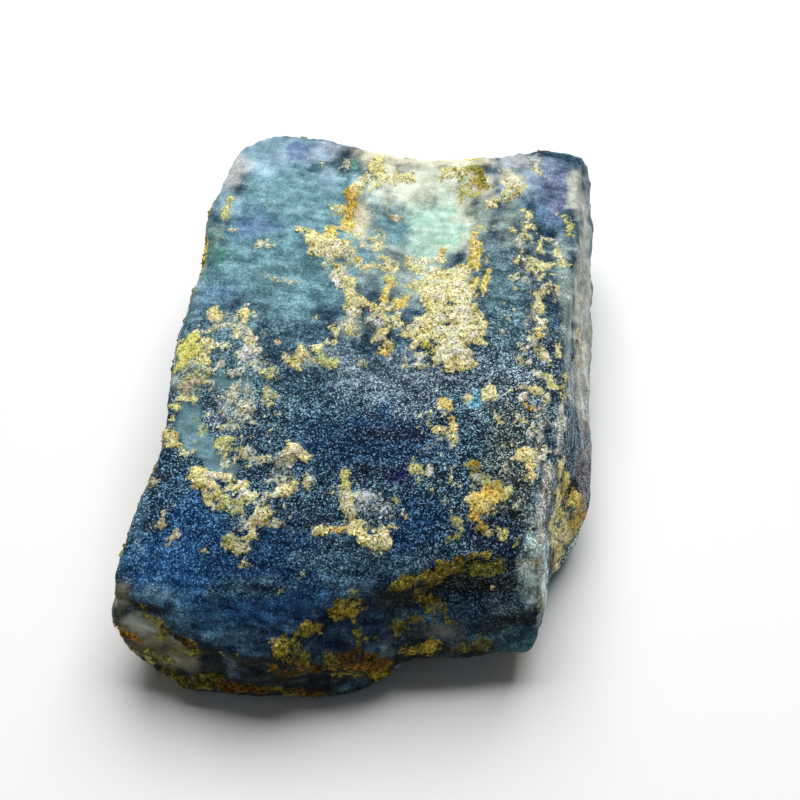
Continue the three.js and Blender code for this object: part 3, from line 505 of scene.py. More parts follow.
# the rock's own colours
# tone: the rock's dark, the pale of its sugar, and how much of it is pale
rockTones = dict(
    navy=((0.001, 0.005, 0.022), (0.044, 0.105, 0.190), 0.40),
    cobalt=((0.001, 0.010, 0.044), (0.032, 0.125, 0.255), 0.42),
    azure=((0.001, 0.026, 0.110), (0.060, 0.215, 0.430), 0.46),
    ocean=((0.001, 0.014, 0.042), (0.115, 0.240, 0.320), 0.44),
    reef=((0.008, 0.040, 0.066), (0.232, 0.390, 0.432), 0.48),
    slate=((0.014, 0.040, 0.066), (0.300, 0.410, 0.480), 0.50),
    teal=((0.058, 0.150, 0.185), (0.230, 0.420, 0.470), 0.50),
    lagoon=((0.095, 0.250, 0.300), (0.320, 0.510, 0.570), 0.48),
    # a pale blue-grey that is painted sheen of the light from behind
    paintedSheen=((0.200, 0.370, 0.470), (0.370, 0.530, 0.620), 0.50),
    reed=((0.050, 0.125, 0.125), (0.270, 0.400, 0.370), 0.50),
    dusk=((0.009, 0.024, 0.038), (0.225, 0.315, 0.355), 0.46),
    peat=((0.008, 0.024, 0.032), (0.200, 0.255, 0.235), 0.40),
    lilac=((0.160, 0.275, 0.413), (0.468, 0.572, 0.663), 0.50),
    indigo=((0.040, 0.066, 0.150), (0.280, 0.340, 0.480), 0.46),
    scuff=((0.340, 0.560, 0.500), (0.860, 1.000, 0.940), 0.56),
    chalk=((0.130, 0.128, 0.125), (0.480, 0.470, 0.420), 0.55),
    cyan=((0.020, 0.130, 0.200), (0.120, 0.330, 0.420), 0.50),
    mint=((0.284, 0.504, 0.410), (0.546, 0.693, 0.598), 0.50),
    milk=((0.506, 0.575, 0.402), (0.748, 0.770, 0.682), 0.54),
    glass=((0.061, 0.147, 0.179), (0.169, 0.286, 0.312), 0.44),
    smoke=((0.260, 0.285, 0.240), (0.400, 0.420, 0.350), 0.45),
    sepia=((0.100, 0.095, 0.050), (0.270, 0.260, 0.180), 0.45),
    ash=((0.075, 0.085, 0.080), (0.160, 0.175, 0.160), 0.45),
    coal=((0.002, 0.005, 0.006), (0.070, 0.090, 0.085), 0.34),
    deepTeal=((0.003, 0.030, 0.052), (0.080, 0.170, 0.200), 0.45),
    bone=((0.360, 0.380, 0.340), (0.560, 0.570, 0.500), 0.50),
    # pale cream-grey and rose-grey: painted glare of the light from behind on the back rim, and partly on
    # the paler places at the back
    paleGlare=((0.560, 0.540, 0.380), (0.800, 0.780, 0.600), 0.52),
    roseGlare=((0.430, 0.460, 0.470), (0.600, 0.620, 0.620), 0.50),
    mist=((0.180, 0.260, 0.250), (0.430, 0.520, 0.480), 0.50),
    steel=((0.046, 0.130, 0.210), (0.200, 0.350, 0.480), 0.48),
    plum=((0.090, 0.090, 0.110), (0.330, 0.330, 0.350), 0.46),
    violet=((0.075, 0.150, 0.280), (0.230, 0.340, 0.490), 0.48),
    pistachio=((0.480, 0.540, 0.360), (0.660, 0.710, 0.500), 0.50),
    fern=((0.040, 0.170, 0.150), (0.200, 0.400, 0.340), 0.48),
    ink=((0.001, 0.003, 0.040), (0.030, 0.045, 0.170), 0.36),
)

# dabs of colour, as tone, the middle's x, y and z, and the reach along each
rockDabs = [
    # the pale ground under the window, the pale side rims, and along the back rim painted glare of the light
    # behind it
    ("mist", 3.6, 13.4, 13.5, 8.4, 9.4, 5), ("paleGlare", 5, 22, 14, 9, 2.2, 5),
    ("roseGlare", -4.4, 22.8, 14, 2.4, 1.5, 5), ("paleGlare", 2, 22.4, 14, 3.4, 1.5, 5),
    ("paleGlare", 9.6, 21.6, 14, 3, 1.8, 5), ("roseGlare", 13.4, 21.6, 14, 3, 1.8, 5),
    ("mist", -15, 12, 12, 1.2, 8, 6), ("mist", 17.2, 7, 13, 1.1, 8, 3), ("bone", 19.4, 8, 10, 1.6, 16, 6),
    # the top, from the back to the front; the pale blue-grey dabs at the back left are painted sheen of the
    # light from behind
    ("teal", -8, 10, 13, 10, 8, 5), ("lagoon", -7.5, 18.4, 14, 9, 5.4, 6), ("paintedSheen", -9, 23, 14, 6, 2.8, 6),
    ("lilac", -5.5, 22.8, 14, 3, 1.6, 6), ("paintedSheen", -13.2, 18, 13, 1.6, 3.6, 6),
    ("reed", -14.4, 13.6, 13, 1.8, 2.8, 6), ("steel", -10.4, 15, 13, 3, 2.2, 4),
    ("violet", -10, 14.6, 13, 1.8, 0.9, 4), ("violet", -6.4, 23, 14, 1.7, 1.4, 5),
    ("violet", -12.8, 6.2, 13, 1.4, 0.9, 4), ("violet", 16, 16.4, 13, 1.3, 2.6, 4),
    ("fern", -1.4, 21.4, 14, 0.9, 1.1, 4), ("fern", -13.6, 11.6, 13, 1.3, 1.6, 4),
    ("pistachio", 7.2, 8.4, 13, 2.4, 2.6, 4), ("steel", -13.2, 6.6, 13, 2.4, 2.2, 4),
    ("teal", 2.4, 14.6, 13, 1.8, 2.4, 4), ("milk", 5, 19.6, 14, 5.8, 2.8, 5),
    ("milk", 8.4, 15.4, 13, 2.4, 6, 4), ("mint", 6.2, 13.6, 13, 2.8, 4.8, 4),
    ("slate", -3.6, 0.6, 13, 3.4, 1.8, 4), ("slate", 3.4, -4.4, 13, 4.4, 2.4, 4),
    ("ink", 2.2, -9.2, 13, 2.4, 1.2, 4), ("ink", 2.6, -11.4, 13, 2, 1, 4),
    ("ink", 3.8, -16.4, 13, 2.4, 1.8, 4), ("ink", 9.6, -16.6, 13, 1.2, 1.2, 4),
    ("dusk", 12.6, 9, 13, 4.4, 9, 5), ("lilac", 13.8, 19.4, 13, 4.4, 3.4, 5),
    ("steel", 16.4, 16.4, 13, 1.8, 3.2, 5), ("indigo", 17, 18.6, 13, 2.2, 4.6, 5),
    ("dusk", 13.4, -3, 13, 4.6, 6, 5), ("peat", 12.2, -12, 13, 3.8, 7.4, 5),
    ("slate", 4.6, -1.6, 13, 9.5, 3.2, 5), ("reef", -11.8, -0.5, 13, 6.4, 7.6, 5),
    ("slate", -12.4, -6.6, 13, 3.4, 3.6, 5), ("reef", 11.6, 6, 13, 2.6, 7, 5),
    ("cobalt", 0.4, -8.6, 12, 7.4, 3.4, 4), ("navy", 1.4, -7.6, 12, 3.4, 1.1, 4),
    ("navy", 0, -11.2, 12, 3.2, 1, 4), ("navy", 11.4, -17.2, 12, 2.6, 2, 5),
    ("azure", -14.6, -16.4, 10, 6, 6, 4), ("cobalt", -8, -17.6, 10, 5, 5, 4),
    ("cobalt", 4.4, -15.4, 12, 3.4, 3, 4), ("cobalt", -7.6, -22, 8, 7.6, 2.6, 4),
    ("steel", -18.6, -13.4, 11, 1, 4.4, 3), ("azure", -17.2, -20.8, 9.4, 2.6, 1.4, 1.2),
    ("navy", -7.4, -24, 7.6, 5, 2, 1.6), ("ocean", -3, -18.2, 10, 3.6, 1, 3),
    ("ocean", -9, -20.2, 9, 3.2, 0.8, 3), ("cyan", 9.2, -4.3, 13, 0.7, 1, 3),
    # paler places between the crust; those at the back are partly painted glare of the light behind
    ("paleGlare", 10.3, 18.6, 14, 1.6, 2.8, 4), ("paleGlare", 12.8, 19.6, 14, 1.6, 1.6, 4),
    ("mist", 10.2, 15.6, 14, 1.2, 2.6, 4), ("mist", 12.6, 15, 14, 1.7, 3.4, 4),
    ("paleGlare", -0.9, 16, 14, 1.1, 2.8, 4), ("paintedSheen", -3.6, 19.8, 14, 1.6, 1.8, 4),
    ("roseGlare", -12.5, 20.6, 14, 1.6, 3, 4), ("bone", 18.6, 18, 13, 0.9, 3.6, 4),
    ("mist", -0.8, 3.2, 13.5, 3, 1.5, 3), ("mist", -5.8, -0.2, 13.5, 1.8, 1.2, 3),
    ("mist", -15.6, -2, 13, 1.6, 2.6, 3),
    # the scoured ridge and the corner below it
    ("dusk", 14.4, -12, 12, 1.4, 9, 5), ("scuff", 14.2, -18.8, 8.8, 1.7, 2.8, 4.6),
    # the front wall
    ("navy", -2.6, -22.6, 7, 5.4, 2.6, 2.4), ("sepia", -18.6, -22.8, 6.2, 3, 2.4, 2.4),
    ("sepia", -15.6, -24, 5, 2.6, 2.4, 1.8), ("sepia", -20, -20.8, 8.8, 1.4, 1.4, 1.8),
    # the steel dab at the front-left corner is painted light: a paler tone on a place that faces away from
    # the lamp
    ("smoke", -18.8, -21.8, 6.9, 1.7, 2, 1.3), ("steel", -17.4, -21, 9.2, 2.4, 1.2, 1),
    ("ash", 6, -21.6, 5.7, 2.6, 2, 0.9), ("slate", 11, -21, 7.6, 1.6, 1.6, 1.2),
    # the cobalt and deep teal dabs low on the foot, at z 0.3, are a painted glow: blue light that comes
    # through the stone
    ("deepTeal", 12.6, -21.8, 4.6, 3, 3, 2), ("cobalt", -5.4, -26, 0.3, 5.4, 1.8, 1),
    ("deepTeal", 1.6, -25.6, 0.3, 4, 2, 1),
    # the right wall
    ("bone", 18.6, 4, 8, 2.4, 12, 4), ("plum", 18.8, -6, 7, 2, 4.6, 4),
    ("coal", 17.4, -9.6, 8.4, 1, 1.2, 1), ("scuff", 17.4, -11, 3, 2.2, 2.2, 2),
]

# windows and stains with a clear edge, as strokes on the top
rockStrokes = [
    ("bone", [(0.7, 18.3, 4.4, 17.8, 1.1, 16.6, -4.3, 16.2, -6.9, 15.9, -9.2)]),
    ("chalk", [(0.8, 15.3, -10.8, 15, -11.6, 14.7, -13.8, 14.3, -16.4, 14.1, -18.5, 14.3, -20.4),
        (0.4, 15, -4.6, 14.6, -8, 13.9, -11)]),
    ("scuff", [(0.8, 13.3, -16.6, 13.6, -19.4)]),
    ("glass", [(1, -14, -1.8, -12.1, -2.1, -10.3, -2.5),
        (2.4, -15, -4.9, -15.1, -6.3, -13.9, -8.1, -12.3, -9.8), (1.2, -12.3, -9.8, -11.1, -10.5)]),
]

# places where the rock stands in fine upright columns, as middle and reach
columns = [((14.6, -12.0, 9), (2.4, 12.0, 8)), ((18.0, 0.0, 9), (2.2, 14.0, 6))]


# how the colours lie on each other
rockZones = dict(
    broad=7.0,        # wavelengths of the noise in the zones' edges
    medium=2.4,
    small=0.9,
    dabWaver=(0.35, 0.35, 0.25),       # how much of each a dab's edge takes
    dabEdge=(-0.1, 0.6),
    strokeWaver=(0.3, 0.35),
    strokeEdge=0.25,
    brightness=(1.12, 0.34, 0.22),     # the middle, then what the noises add
    brightnessLimits=(0.5, 1.7),
    columnEdge=(1.1, 0.5),             # how far out the columns end, and how softly
    faces=[           # what each face is like where nothing else is said
        # the front wall, which faces away from the lamp, is painted near black: its dark rock darkened
        # further with painted shade
        ("front", "coal", 1.0),
        ("left", "navy", 0.8),
        ("right", "slate", 0.9),
        ("back", "teal", 0.8),
        ("underside", "navy", 0.8),
    ],
    drifts=[("teal", 21), ("slate", 22), ("cobalt", 23), ("mist", 24)],
    driftSize=8.0,
    driftTurn=(0.22, 0.42),            # where in the noise a drift begins and is full
    driftStrength=0.85,
    gloss=dict(glass=1.0, smoke=1.0, sepia=0.8, ash=0.7, mint=0.6, milk=0.6, paintedSheen=0.2),
)


def layOver(under, over, share):
    return under * (1 - share[:, None]) + np.array(over) * share[:, None]


def unseen(shares):
    # the faces that the lists leave out
    return np.maximum(shares["back"], np.maximum(shares["left"], shares["underside"])) * (1 - shares["top"])


def colourRock(piece, places, shares):
    # three numbers of dark, three of pale, then how pale it is and how glassy
    broad = cloud(places, rockZones["broad"], 11)
    medium = cloud(places, rockZones["medium"], 12)
    small = cloud(places, rockZones["small"], 13)
    looks = {}
    for tone, (dark, pale, frost) in rockTones.items():
        looks[tone] = (*dark, *pale, frost, rockZones["gloss"].get(tone, 0.0))
    paint = np.tile(looks["ocean"], (len(places), 1)).astype(float)
    for face, tone, strength in rockZones["faces"]:
        paint = layOver(paint, looks[tone], shares[face] * (1 - shares["top"]) * strength)
    for tone, seed in rockZones["drifts"]:
        share = patches(places, rockZones["driftSize"], seed, *rockZones["driftTurn"]) * unseen(shares)
        paint = layOver(paint, looks[tone], share * rockZones["driftStrength"])
    dabWaver = rockZones["dabWaver"] @ np.array((broad, medium, small))
    for tone, *numbers in rockDabs:
        away = np.linalg.norm((places - numbers[:3]) / numbers[3:], axis=1)
        share = ramp(1 - away + dabWaver, *rockZones["dabEdge"])
        paint = layOver(paint, looks[tone], share)
    surface = BVHTree.FromObject(piece, bpy.context.evaluated_depsgraph_get())
    strokeWaver = rockZones["strokeWaver"] @ np.array((medium, small))
    edge = rockZones["strokeEdge"]
    for tone, strokes in rockStrokes:
        for width, *numbers in strokes:
            line = drapeStroke(surface, numbers, lambda a, b: (a, b, 40), (0, 0, -1))
            inside = width / 2 - awayFromLine(places, line) + strokeWaver
            paint = layOver(paint, looks[tone], ramp(inside, -edge, edge))
    level, mediumShare, broadShare = rockZones["brightness"]
    brightness = level + mediumShare * medium + broadShare * broad
    brightness = np.clip(brightness, *rockZones["brightnessLimits"])[:, None]
    end, softness = rockZones["columnEdge"]
    ridged = np.zeros(len(places))
    for middle, reach in columns:
        away = np.linalg.norm((places - middle) / reach, axis=1)
        ridged = np.maximum(ridged, ramp(end - away, 0, softness))
    dark, pale = paint[:, 0:3] * brightness, paint[:, 3:6] * brightness
    return dark, pale, paint[:, 6], paint[:, 7], ridged


# the same crust carries on over the faces that the lists above leave out
hiddenCrust = dict(
    patches=(4.2, 1.0),   # wavelength and strength of the patches, then of their ragged edge
    bites=(1.2, 0.4),
    bare=0.34,            # the higher, the less crust
    sharpness=3.0,        # how suddenly a patch ends
    underside=0.8,
    hiddenEdge=(0.2, 0.5),
    tintSize=5.0,
    ochre=(-0.1, 0.15),   # where the tint turns from olive to ochre, and on to cream
    cream=(0.2, 0.45),
    height=0.9,
    liftEdge=(0.35, 0.8),
    grain=0.8,
    looseEdge=(0.5, 0.9),
    clearance=(0.5, 0.9), # millimetres above the table, from no loose grain to all of it
)


def addHiddenCrust(places, shares, cover, lift, loose, colour):
    hidden = np.maximum(shares["back"], hiddenCrust["underside"] * shares["underside"])
    hidden = np.maximum(shares["left"], hidden)
    hidden = hidden * (1 - shares["top"]) * (1 - shares["right"])
    layers = [(hiddenCrust["patches"], 31), (hiddenCrust["bites"], 32)]
    grown = sum(strength * cloud(places, size, seed) for (size, strength), seed in layers)
    share = np.clip(0.5 + (grown - hiddenCrust["bare"]) * hiddenCrust["sharpness"], 0, 1)
    share = share * ramp(hidden, *hiddenCrust["hiddenEdge"])
    tint = cloud(places, hiddenCrust["tintSize"], 33)
    shade = np.tile(crustTones["olive"][0], (len(places), 1)).astype(float)
    for tone in ("ochre", "cream"):
        shade = layOver(shade, crustTones[tone][0], ramp(tint, *hiddenCrust[tone]))
    taken = share > cover
    colour[taken] = shade[taken]
    cover = np.maximum(cover, share)
    lift = np.maximum(lift, ramp(share, *hiddenCrust["liftEdge"]) * hiddenCrust["height"])
    loose = np.maximum(loose, ramp(share, *hiddenCrust["looseEdge"]) * hiddenCrust["grain"])
    # no loose grain under the stone, where it rests
    loose = loose * ramp(places[:, 2], *hiddenCrust["clearance"]) * (1 - shares["underside"])
    return cover, lift, loose, colour


rockDark, rockPale, rockFrost, windowShare, ridged = colourRock(stone, places, shares)
crust = addHiddenCrust(places, shares, crustCover, crustLift, crustLoose, crustColour)
crustCover, crustLift, crustLoose, crustColour = crust

# how far single crystals stand out: most on the fresh rock in front of the middle, least at
# the back of the top; each pair is how far forward a place lies, and how much
crystals = dict(
    forward=[
        (-24, 0.15), (-20, 0.22), (-12, 0.32), (-6, 0.42), (-2, 0.65),
        (6, 0.95), (13, 1.0), (17, 0.85), (20, 0.7), (22, 0.4),
    ],
    right=(2.0, 9.0),     # from here to there they stand out more
    rightMore=0.25,
    unseen=0.7,
    windowLess=0.6,
    columnLess=0.35,
)
sparkle = np.interp(-places[:, 1], *zip(*crystals["forward"]))
sparkle = sparkle * (1 + crystals["rightMore"] * ramp(places[:, 0], *crystals["right"]))
sparkle = np.maximum(sparkle, crystals["unseen"] * unseen(shares))
sparkle = sparkle * (1 - crystals["windowLess"] * windowShare) * (1 - crystals["columnLess"] * ridged)

# darker, more blotched crust on the walls and along the front edge, which face away from the lamp, and less
# of it on the brighter right wall: partly the crust's own blotches, partly painted shade
shadedBlotchReach = dict(front=(16.5, 19.0), rightLess=0.6)
aged = np.clip(1 - shares["top"] + ramp(-places[:, 1], *shadedBlotchReach["front"]), 0, 1)
aged = aged * (1 - shadedBlotchReach["rightLess"] * shares["right"])
print("rock coloured")


# working the surface
def paintGroup(piece, name, weights):
    group = piece.vertex_groups.new(name=name)
    steps = stoneShape["weightSteps"]
    level = np.round(np.clip(weights, 0, 1) * steps).astype(int)
    for step in range(1, steps + 1):
        chosen = np.flatnonzero(level == step)
        if len(chosen):
            group.add([int(i) for i in chosen], step / steps, "REPLACE")


def ruler(name, stretch=1.0, turn=0.0):
    # an empty whose own units are millimetres, for the textures to follow
    deselectAll()
    bpy.ops.object.empty_add(location=(0, 0, 0))
    empty = bpy.context.object
    empty.name = name
    empty.scale = (mm * stretch, mm, mm)
    empty.rotation_euler = (0, 0, math.radians(turn))
    bpy.context.view_layer.update()
    return empty


def roughen(piece, name, guide, group, depth):
    size, height = stoneShape[name]
    texture = bpy.data.textures.new(name, type="CLOUDS")
    texture.noise_scale = size
    texture.noise_depth = depth
    push = piece.modifiers.new(name, "DISPLACE")
    push.texture = texture
    push.texture_coords = "OBJECT"
    push.texture_coords_object = guide
    push.strength = height * mm
    push.vertex_group = group
    applyModifier(piece, push)
    bpy.data.textures.remove(texture)


def workSurface(piece):
    plain = ruler("plainRuler")
    lengthwise = ruler("longRuler", stoneShape["streakStretch"], stoneShape["streakTurn"])
    upright = ruler("uprightRuler", stoneShape["streakStretch"], 90)
    rough = np.clip(1 - windowShare, 0, 1)
    front = ramp(-places[:, 1], *stoneShape["streakFront"])
    bare = 1 - stoneShape["streakCover"] * crustLift
    groups = dict(
        rough=rough,
        walls=rough * (1 - shares["top"]),
        streaked=rough * shares["top"] * front * bare,
        ridged=ridged,
        crust=crustLift / max(tone[1] for tone in crustTones.values()),
    )
    for name, weights in groups.items():
        paintGroup(piece, name, weights)
    roughen(piece, "lumps", plain, "walls", 2)
    roughen(piece, "chips", plain, "rough", 2)
    roughen(piece, "streaks", lengthwise, "streaked", 1)
    roughen(piece, "columns", upright, "ridged", 1)
    roughen(piece, "grit", plain, "rough", 1)
    lift = piece.modifiers.new("crustLift", "DISPLACE")
    lift.strength = stoneShape["crustLift"] * mm
    lift.mid_level = 0
    lift.vertex_group = "crust"
    applyModifier(piece, lift)
    roughen(piece, "crustGrain", plain, "crust", 2)
    for empty in (plain, lengthwise, upright):
        bpy.data.objects.remove(empty)
    piece.vertex_groups.clear()


def paintNumber(piece, name, values):
    attribute = piece.data.attributes.new(name, "FLOAT", "POINT")
    attribute.data.foreach_set("value", np.asarray(values, np.float32))


def paintColour(piece, name, values):
    attribute = piece.data.attributes.new(name, "FLOAT_COLOR", "POINT")
    full = np.ones((len(values), 4), np.float32)
    full[:, :3] = np.clip(values, 0, 1)
    attribute.data.foreach_set("color", full.ravel())


def settleOnTable(piece):
    # nothing reaches below the table, and the bearing face stays level
    spots = readPlaces(piece)
    spots[:, 2] = np.maximum(spots[:, 2], 0.0)
    piece.data.vertices.foreach_set("co", (spots * mm).astype(np.float32).ravel())
    piece.data.update()


workSurface(stone)
settleOnTable(stone)
for name, values in dict(rockDark=rockDark, rockPale=rockPale, crustColour=crustColour).items():
    paintColour(stone, name, values)
numbers = dict(frost=rockFrost, crustCover=crustCover, window=windowShare, ridged=ridged)
numbers.update(sparkle=sparkle, aged=aged, crumbly=np.minimum(crustLoose, crustCover))
for name, values in numbers.items():
    paintNumber(stone, name, values)
print("stone worked")


# materials
def addNode(tree, kind, inputs=None, **settings):
    # a new node; each input takes a value, or the socket that feeds it
    node = tree.nodes.new(kind)
    for key, value in settings.items():
        setattr(node, key, value)
    for key, value in (inputs or {}).items():
        if isinstance(value, bpy.types.NodeSocket):
            tree.links.new(value, node.inputs[key])
        else:
            node.inputs[key].default_value = value
    return node


def reading(tree, name, output="Fac"):
    return addNode(tree, "ShaderNodeAttribute", attribute_name=name).outputs[output]


def maths(tree, operation, *terms):
    return addNode(tree, "ShaderNodeMath", dict(enumerate(terms)), operation=operation).outputs[0]


def spread(tree, value, low, high, newLow=0.0, newHigh=1.0, smooth=True):
    kind = "SMOOTHSTEP" if smooth else "LINEAR"
    inputs = {"Value": value, "From Min": low, "From Max": high, "To Min": newLow, "To Max": newHigh}
    return addNode(tree, "ShaderNodeMapRange", inputs, interpolation_type=kind).outputs["Result"]


def blendColours(tree, share, first, second, kind="MIX"):
    if isinstance(second, tuple):
        second = (*second, 1)
    inputs = {0: share, 6: first, 7: second}
    return addNode(tree, "ShaderNodeMix", inputs, data_type="RGBA", blend_type=kind).outputs[2]


def cloudNode(tree, places, scale, detail=3, roughness=0.6):
    inputs = {"Vector": places, "Scale": scale, "Detail": detail, "Roughness": roughness}
    return addNode(tree, "ShaderNodeTexNoise", inputs).outputs["Fac"]


def cellNode(tree, places, scale):
    return addNode(tree, "ShaderNodeTexVoronoi", {"Vector": places, "Scale": scale})


def inMillimetres(tree, stretch=(1, 1, 1), turn=0):
    # the place in millimetres, squeezed where a pattern is to be drawn out
    where = addNode(tree, "ShaderNodeTexCoord").outputs["Object"]
    inputs = {"Vector": where, "Scale": [mm * s for s in stretch], "Rotation": (0, 0, math.radians(turn))}
    return addNode(tree, "ShaderNodeMapping", inputs, vector_type="TEXTURE").outputs["Vector"]


rockFinish = dict(
    crystals=9.5,               # each pattern's features to a millimetre
    whiteCrystalGlint=(0.48, 0.52, 0.48),
    drifts=1.0,
    streaks=1.6,
    streakStretch=(6.0, 1.0, 1.0),
    streakTurn=-10,             # degrees
    columns=2.2,
    columnStretch=(1.0, 7.0, 7.0),
    driftShare=0.52,            # how much each pattern says in where the rock is pale
    streakShare=0.38,
    columnShare=1.1,
    frostShare=0.4,
    middle=0.66,                # where dark turns to pale, and half the width of the turn
    contrast=0.17,
    darkPower=4.2,              # the higher, the fewer pale crystals: in dark rock, in pale
    palePower=1.1,
    glint=(1.8, -0.45),         # how a crystal's brightness follows its shade
    glintWhitening=0.36,             # how much of the whitest crystals is white: partly pale crystals, partly painted glints
    crystalTilt=0.5,            # how far each crystal leans from the surface
    edgeWander=2.2,             # how far the crust's edge wanders, and where it turns to rock
    edgeTurn=(0.44, 0.58),
    crustEdge=3.4,              # crust edge, grains, pits and blotches to a millimetre
    grains=6.0,
    pits=5.0,
    mottles=2.4,
    topMottle=(0.78, 1.12),   # darkest and lightest blotches on the top's crust and on the walls' crust, whose darker blotches are partly painted shade
    agedMottle=(0.16, 1.55),
    mottleTurn=(0.36, 0.62),    # where in a pattern's noise the turn begins and ends
    pitTurn=(0.46, 0.36),
    brownTurn=(0.30, 0.12),
    whiteTurn=(0.78, 0.90),
    grainShade=(0.62, 1.34),    # the darkest and lightest single grains
    brownGrain=(0.95, 0.78, 0.45),
    whiteGrain=(0.97, 0.98, 1.22),
    gap=(0.40, 0.38, 0.30),     # how much darker it is in the pits between crust grains: partly darker crust there, partly painted shade
    roughness=0.45,
    crustRoughness=0.9,
    windowRoughness=0.22,
    specular=0.07,
    bump=(0.7, 0.16),           # strength, and height in millimetres
    crumbRoughness=0.85,
    crumbSpecular=0.2,
)


def scaleColour(tree, colour, amount):
    return addNode(tree, "ShaderNodeVectorMath", {0: colour, "Scale": amount}, operation="SCALE").outputs[0]


def chances(tree, cells):
    # three even random numbers for each cell
    return addNode(tree, "ShaderNodeSeparateColor", {0: cells.outputs["Color"]}).outputs


def leaning(tree, cells, amount):
    # the surface's normal, turned a different way in each cell
    def vector(operation, *terms):
        return addNode(tree, "ShaderNodeVectorMath", dict(enumerate(terms)), operation=operation).outputs[0]

    lean = scaleColour(tree, vector("ADD", cells.outputs["Color"], (-0.5, -0.5, -0.5)), amount)
    normal = addNode(tree, "ShaderNodeNewGeometry").outputs["Normal"]
    return vector("NORMALIZE", vector("ADD", normal, lean))


# crust is blotched darker and lighter at random, more strongly on the walls and along the front, where the
# darker blotches are partly painted shade
def mottle(tree, where):
    # crust is darker in its hollows and older parts
    aged = reading(tree, "aged")
    onTop, onWalls = rockFinish["topMottle"], rockFinish["agedMottle"]
    low = spread(tree, aged, 0, 1, onTop[0], onWalls[0])
    high = spread(tree, aged, 0, 1, onTop[1], onWalls[1])
    blotches = cloudNode(tree, where, rockFinish["mottles"], 5, 0.75)
    return spread(tree, blotches, *rockFinish["mottleTurn"], low, high)


def grainColour(tree, colour, chance, tone):
    # some grains are browner, some whiter, and each is a little lighter or darker
    shade = spread(tree, chance, 0, 1, *rockFinish["grainShade"], smooth=False)
    for kind in ("brown", "white"):
        share = spread(tree, chance, *rockFinish[kind + "Turn"])
        colour = blendColours(tree, share, colour, rockFinish[kind + "Grain"], kind="MULTIPLY")
    return scaleColour(tree, colour, maths(tree, "MULTIPLY", tone, shade))


def startMaterial(name, specular):
    material = bpy.data.materials.new(name)
    material.use_nodes = True
    shader = material.node_tree.nodes["Principled BSDF"]
    shader.inputs["Specular IOR Level"].default_value = specular
    return material, material.node_tree, shader.inputs


def rockMaterial():
    finish = rockFinish
    material, tree, shader = startMaterial("lapisRock", finish["specular"])
    where = inMillimetres(tree)
    window = reading(tree, "window")
    broken = maths(tree, "SUBTRACT", 1.0, window)

    # dark and pale rock, in drifts and long streaks
    along = inMillimetres(tree, finish["streakStretch"], finish["streakTurn"])
    upright = inMillimetres(tree, finish["columnStretch"])
    drift = cloudNode(tree, where, finish["drifts"], 5, 0.65)
    streak = cloudNode(tree, along, finish["streaks"], 4, 0.65)
    column = maths(tree, "SUBTRACT", cloudNode(tree, upright, finish["columns"], 4, 0.65), 0.5)
    column = maths(tree, "MULTIPLY", column, reading(tree, "ridged"))
    mixed = maths(tree, "MULTIPLY", drift, finish["driftShare"])
    mixed = maths(tree, "MULTIPLY_ADD", streak, finish["streakShare"], mixed)
    mixed = maths(tree, "MULTIPLY_ADD", column, finish["columnShare"], mixed)
    mixed = maths(tree, "MULTIPLY_ADD", reading(tree, "frost"), finish["frostShare"], mixed)
    low, high = finish["middle"] - finish["contrast"], finish["middle"] + finish["contrast"]
    sugar = spread(tree, mixed, low, high)

    # single crystals, from deep dark ones to nearly white ones; the brightest and whitest are partly pale
    # crystals and partly painted glints of light off their faces
    cells = cellNode(tree, where, finish["crystals"])
    sparkle = reading(tree, "sparkle")
    power = spread(tree, sugar, 0, 1, finish["darkPower"], finish["palePower"])
    shade = maths(tree, "POWER", chances(tree, cells)[0], power)
    shade = spread(tree, sparkle, 0, 1, sugar, shade, smooth=False)
    rock = blendColours(tree, shade, reading(tree, "rockDark", "Color"), reading(tree, "rockPale", "Color"))
    bright = maths(tree, "MULTIPLY", maths(tree, "MULTIPLY_ADD", shade, *finish["glint"]), sparkle)
    rock = scaleColour(tree, rock, maths(tree, "ADD", bright, 1.0))
    white = maths(tree, "MULTIPLY", spread(tree, shade, 0.5, 1.0, 0, finish["glintWhitening"]), sparkle)
    rock = blendColours(tree, maths(tree, "MULTIPLY", white, broken), rock, finish["whiteCrystalGlint"])

    # the crust: its ragged edge, its grains and the gaps between them, which are darkened partly as painted
    # shade
    ragged = cloudNode(tree, where, finish["crustEdge"], 6, 0.85)
    edge = maths(tree, "MULTIPLY_ADD", ragged, finish["edgeWander"], -finish["edgeWander"] / 2)
    edge = maths(tree, "ADD", reading(tree, "crustCover"), edge)
    mask = spread(tree, edge, *finish["edgeTurn"])
    chance = chances(tree, cellNode(tree, where, finish["grains"]))[1]
    crust = grainColour(tree, reading(tree, "crustColour", "Color"), chance, mottle(tree, where))
    pits = spread(tree, cloudNode(tree, where, finish["pits"], 4, 0.75), *finish["pitTurn"])
    pits = maths(tree, "MULTIPLY", pits, spread(tree, edge, 0.5, 1.3, 1.0, 0.5))
    pitColourAndShade = blendColours(tree, 1.0, crust, finish["gap"], kind="MULTIPLY")
    crust = blendColours(tree, pits, crust, pitColourAndShade)
    tree.links.new(blendColours(tree, mask, rock, crust), shader["Base Color"])

    # gloss and fine relief
    rockRough = spread(tree, window, 0, 1, finish["roughness"], finish["windowRoughness"])
    rough = spread(tree, mask, 0, 1, rockRough, finish["crustRoughness"])
    tree.links.new(rough, shader["Roughness"])
    lean = maths(tree, "MULTIPLY", broken, finish["crystalTilt"])
    relief = maths(tree, "MULTIPLY", ragged, broken)
    strength, height = finish["bump"]
    inputs = {"Strength": strength, "Distance": height * mm, "Height": relief}
    inputs["Normal"] = leaning(tree, cells, lean)
    tree.links.new(addNode(tree, "ShaderNodeBump", inputs).outputs["Normal"], shader["Normal"])
    return material


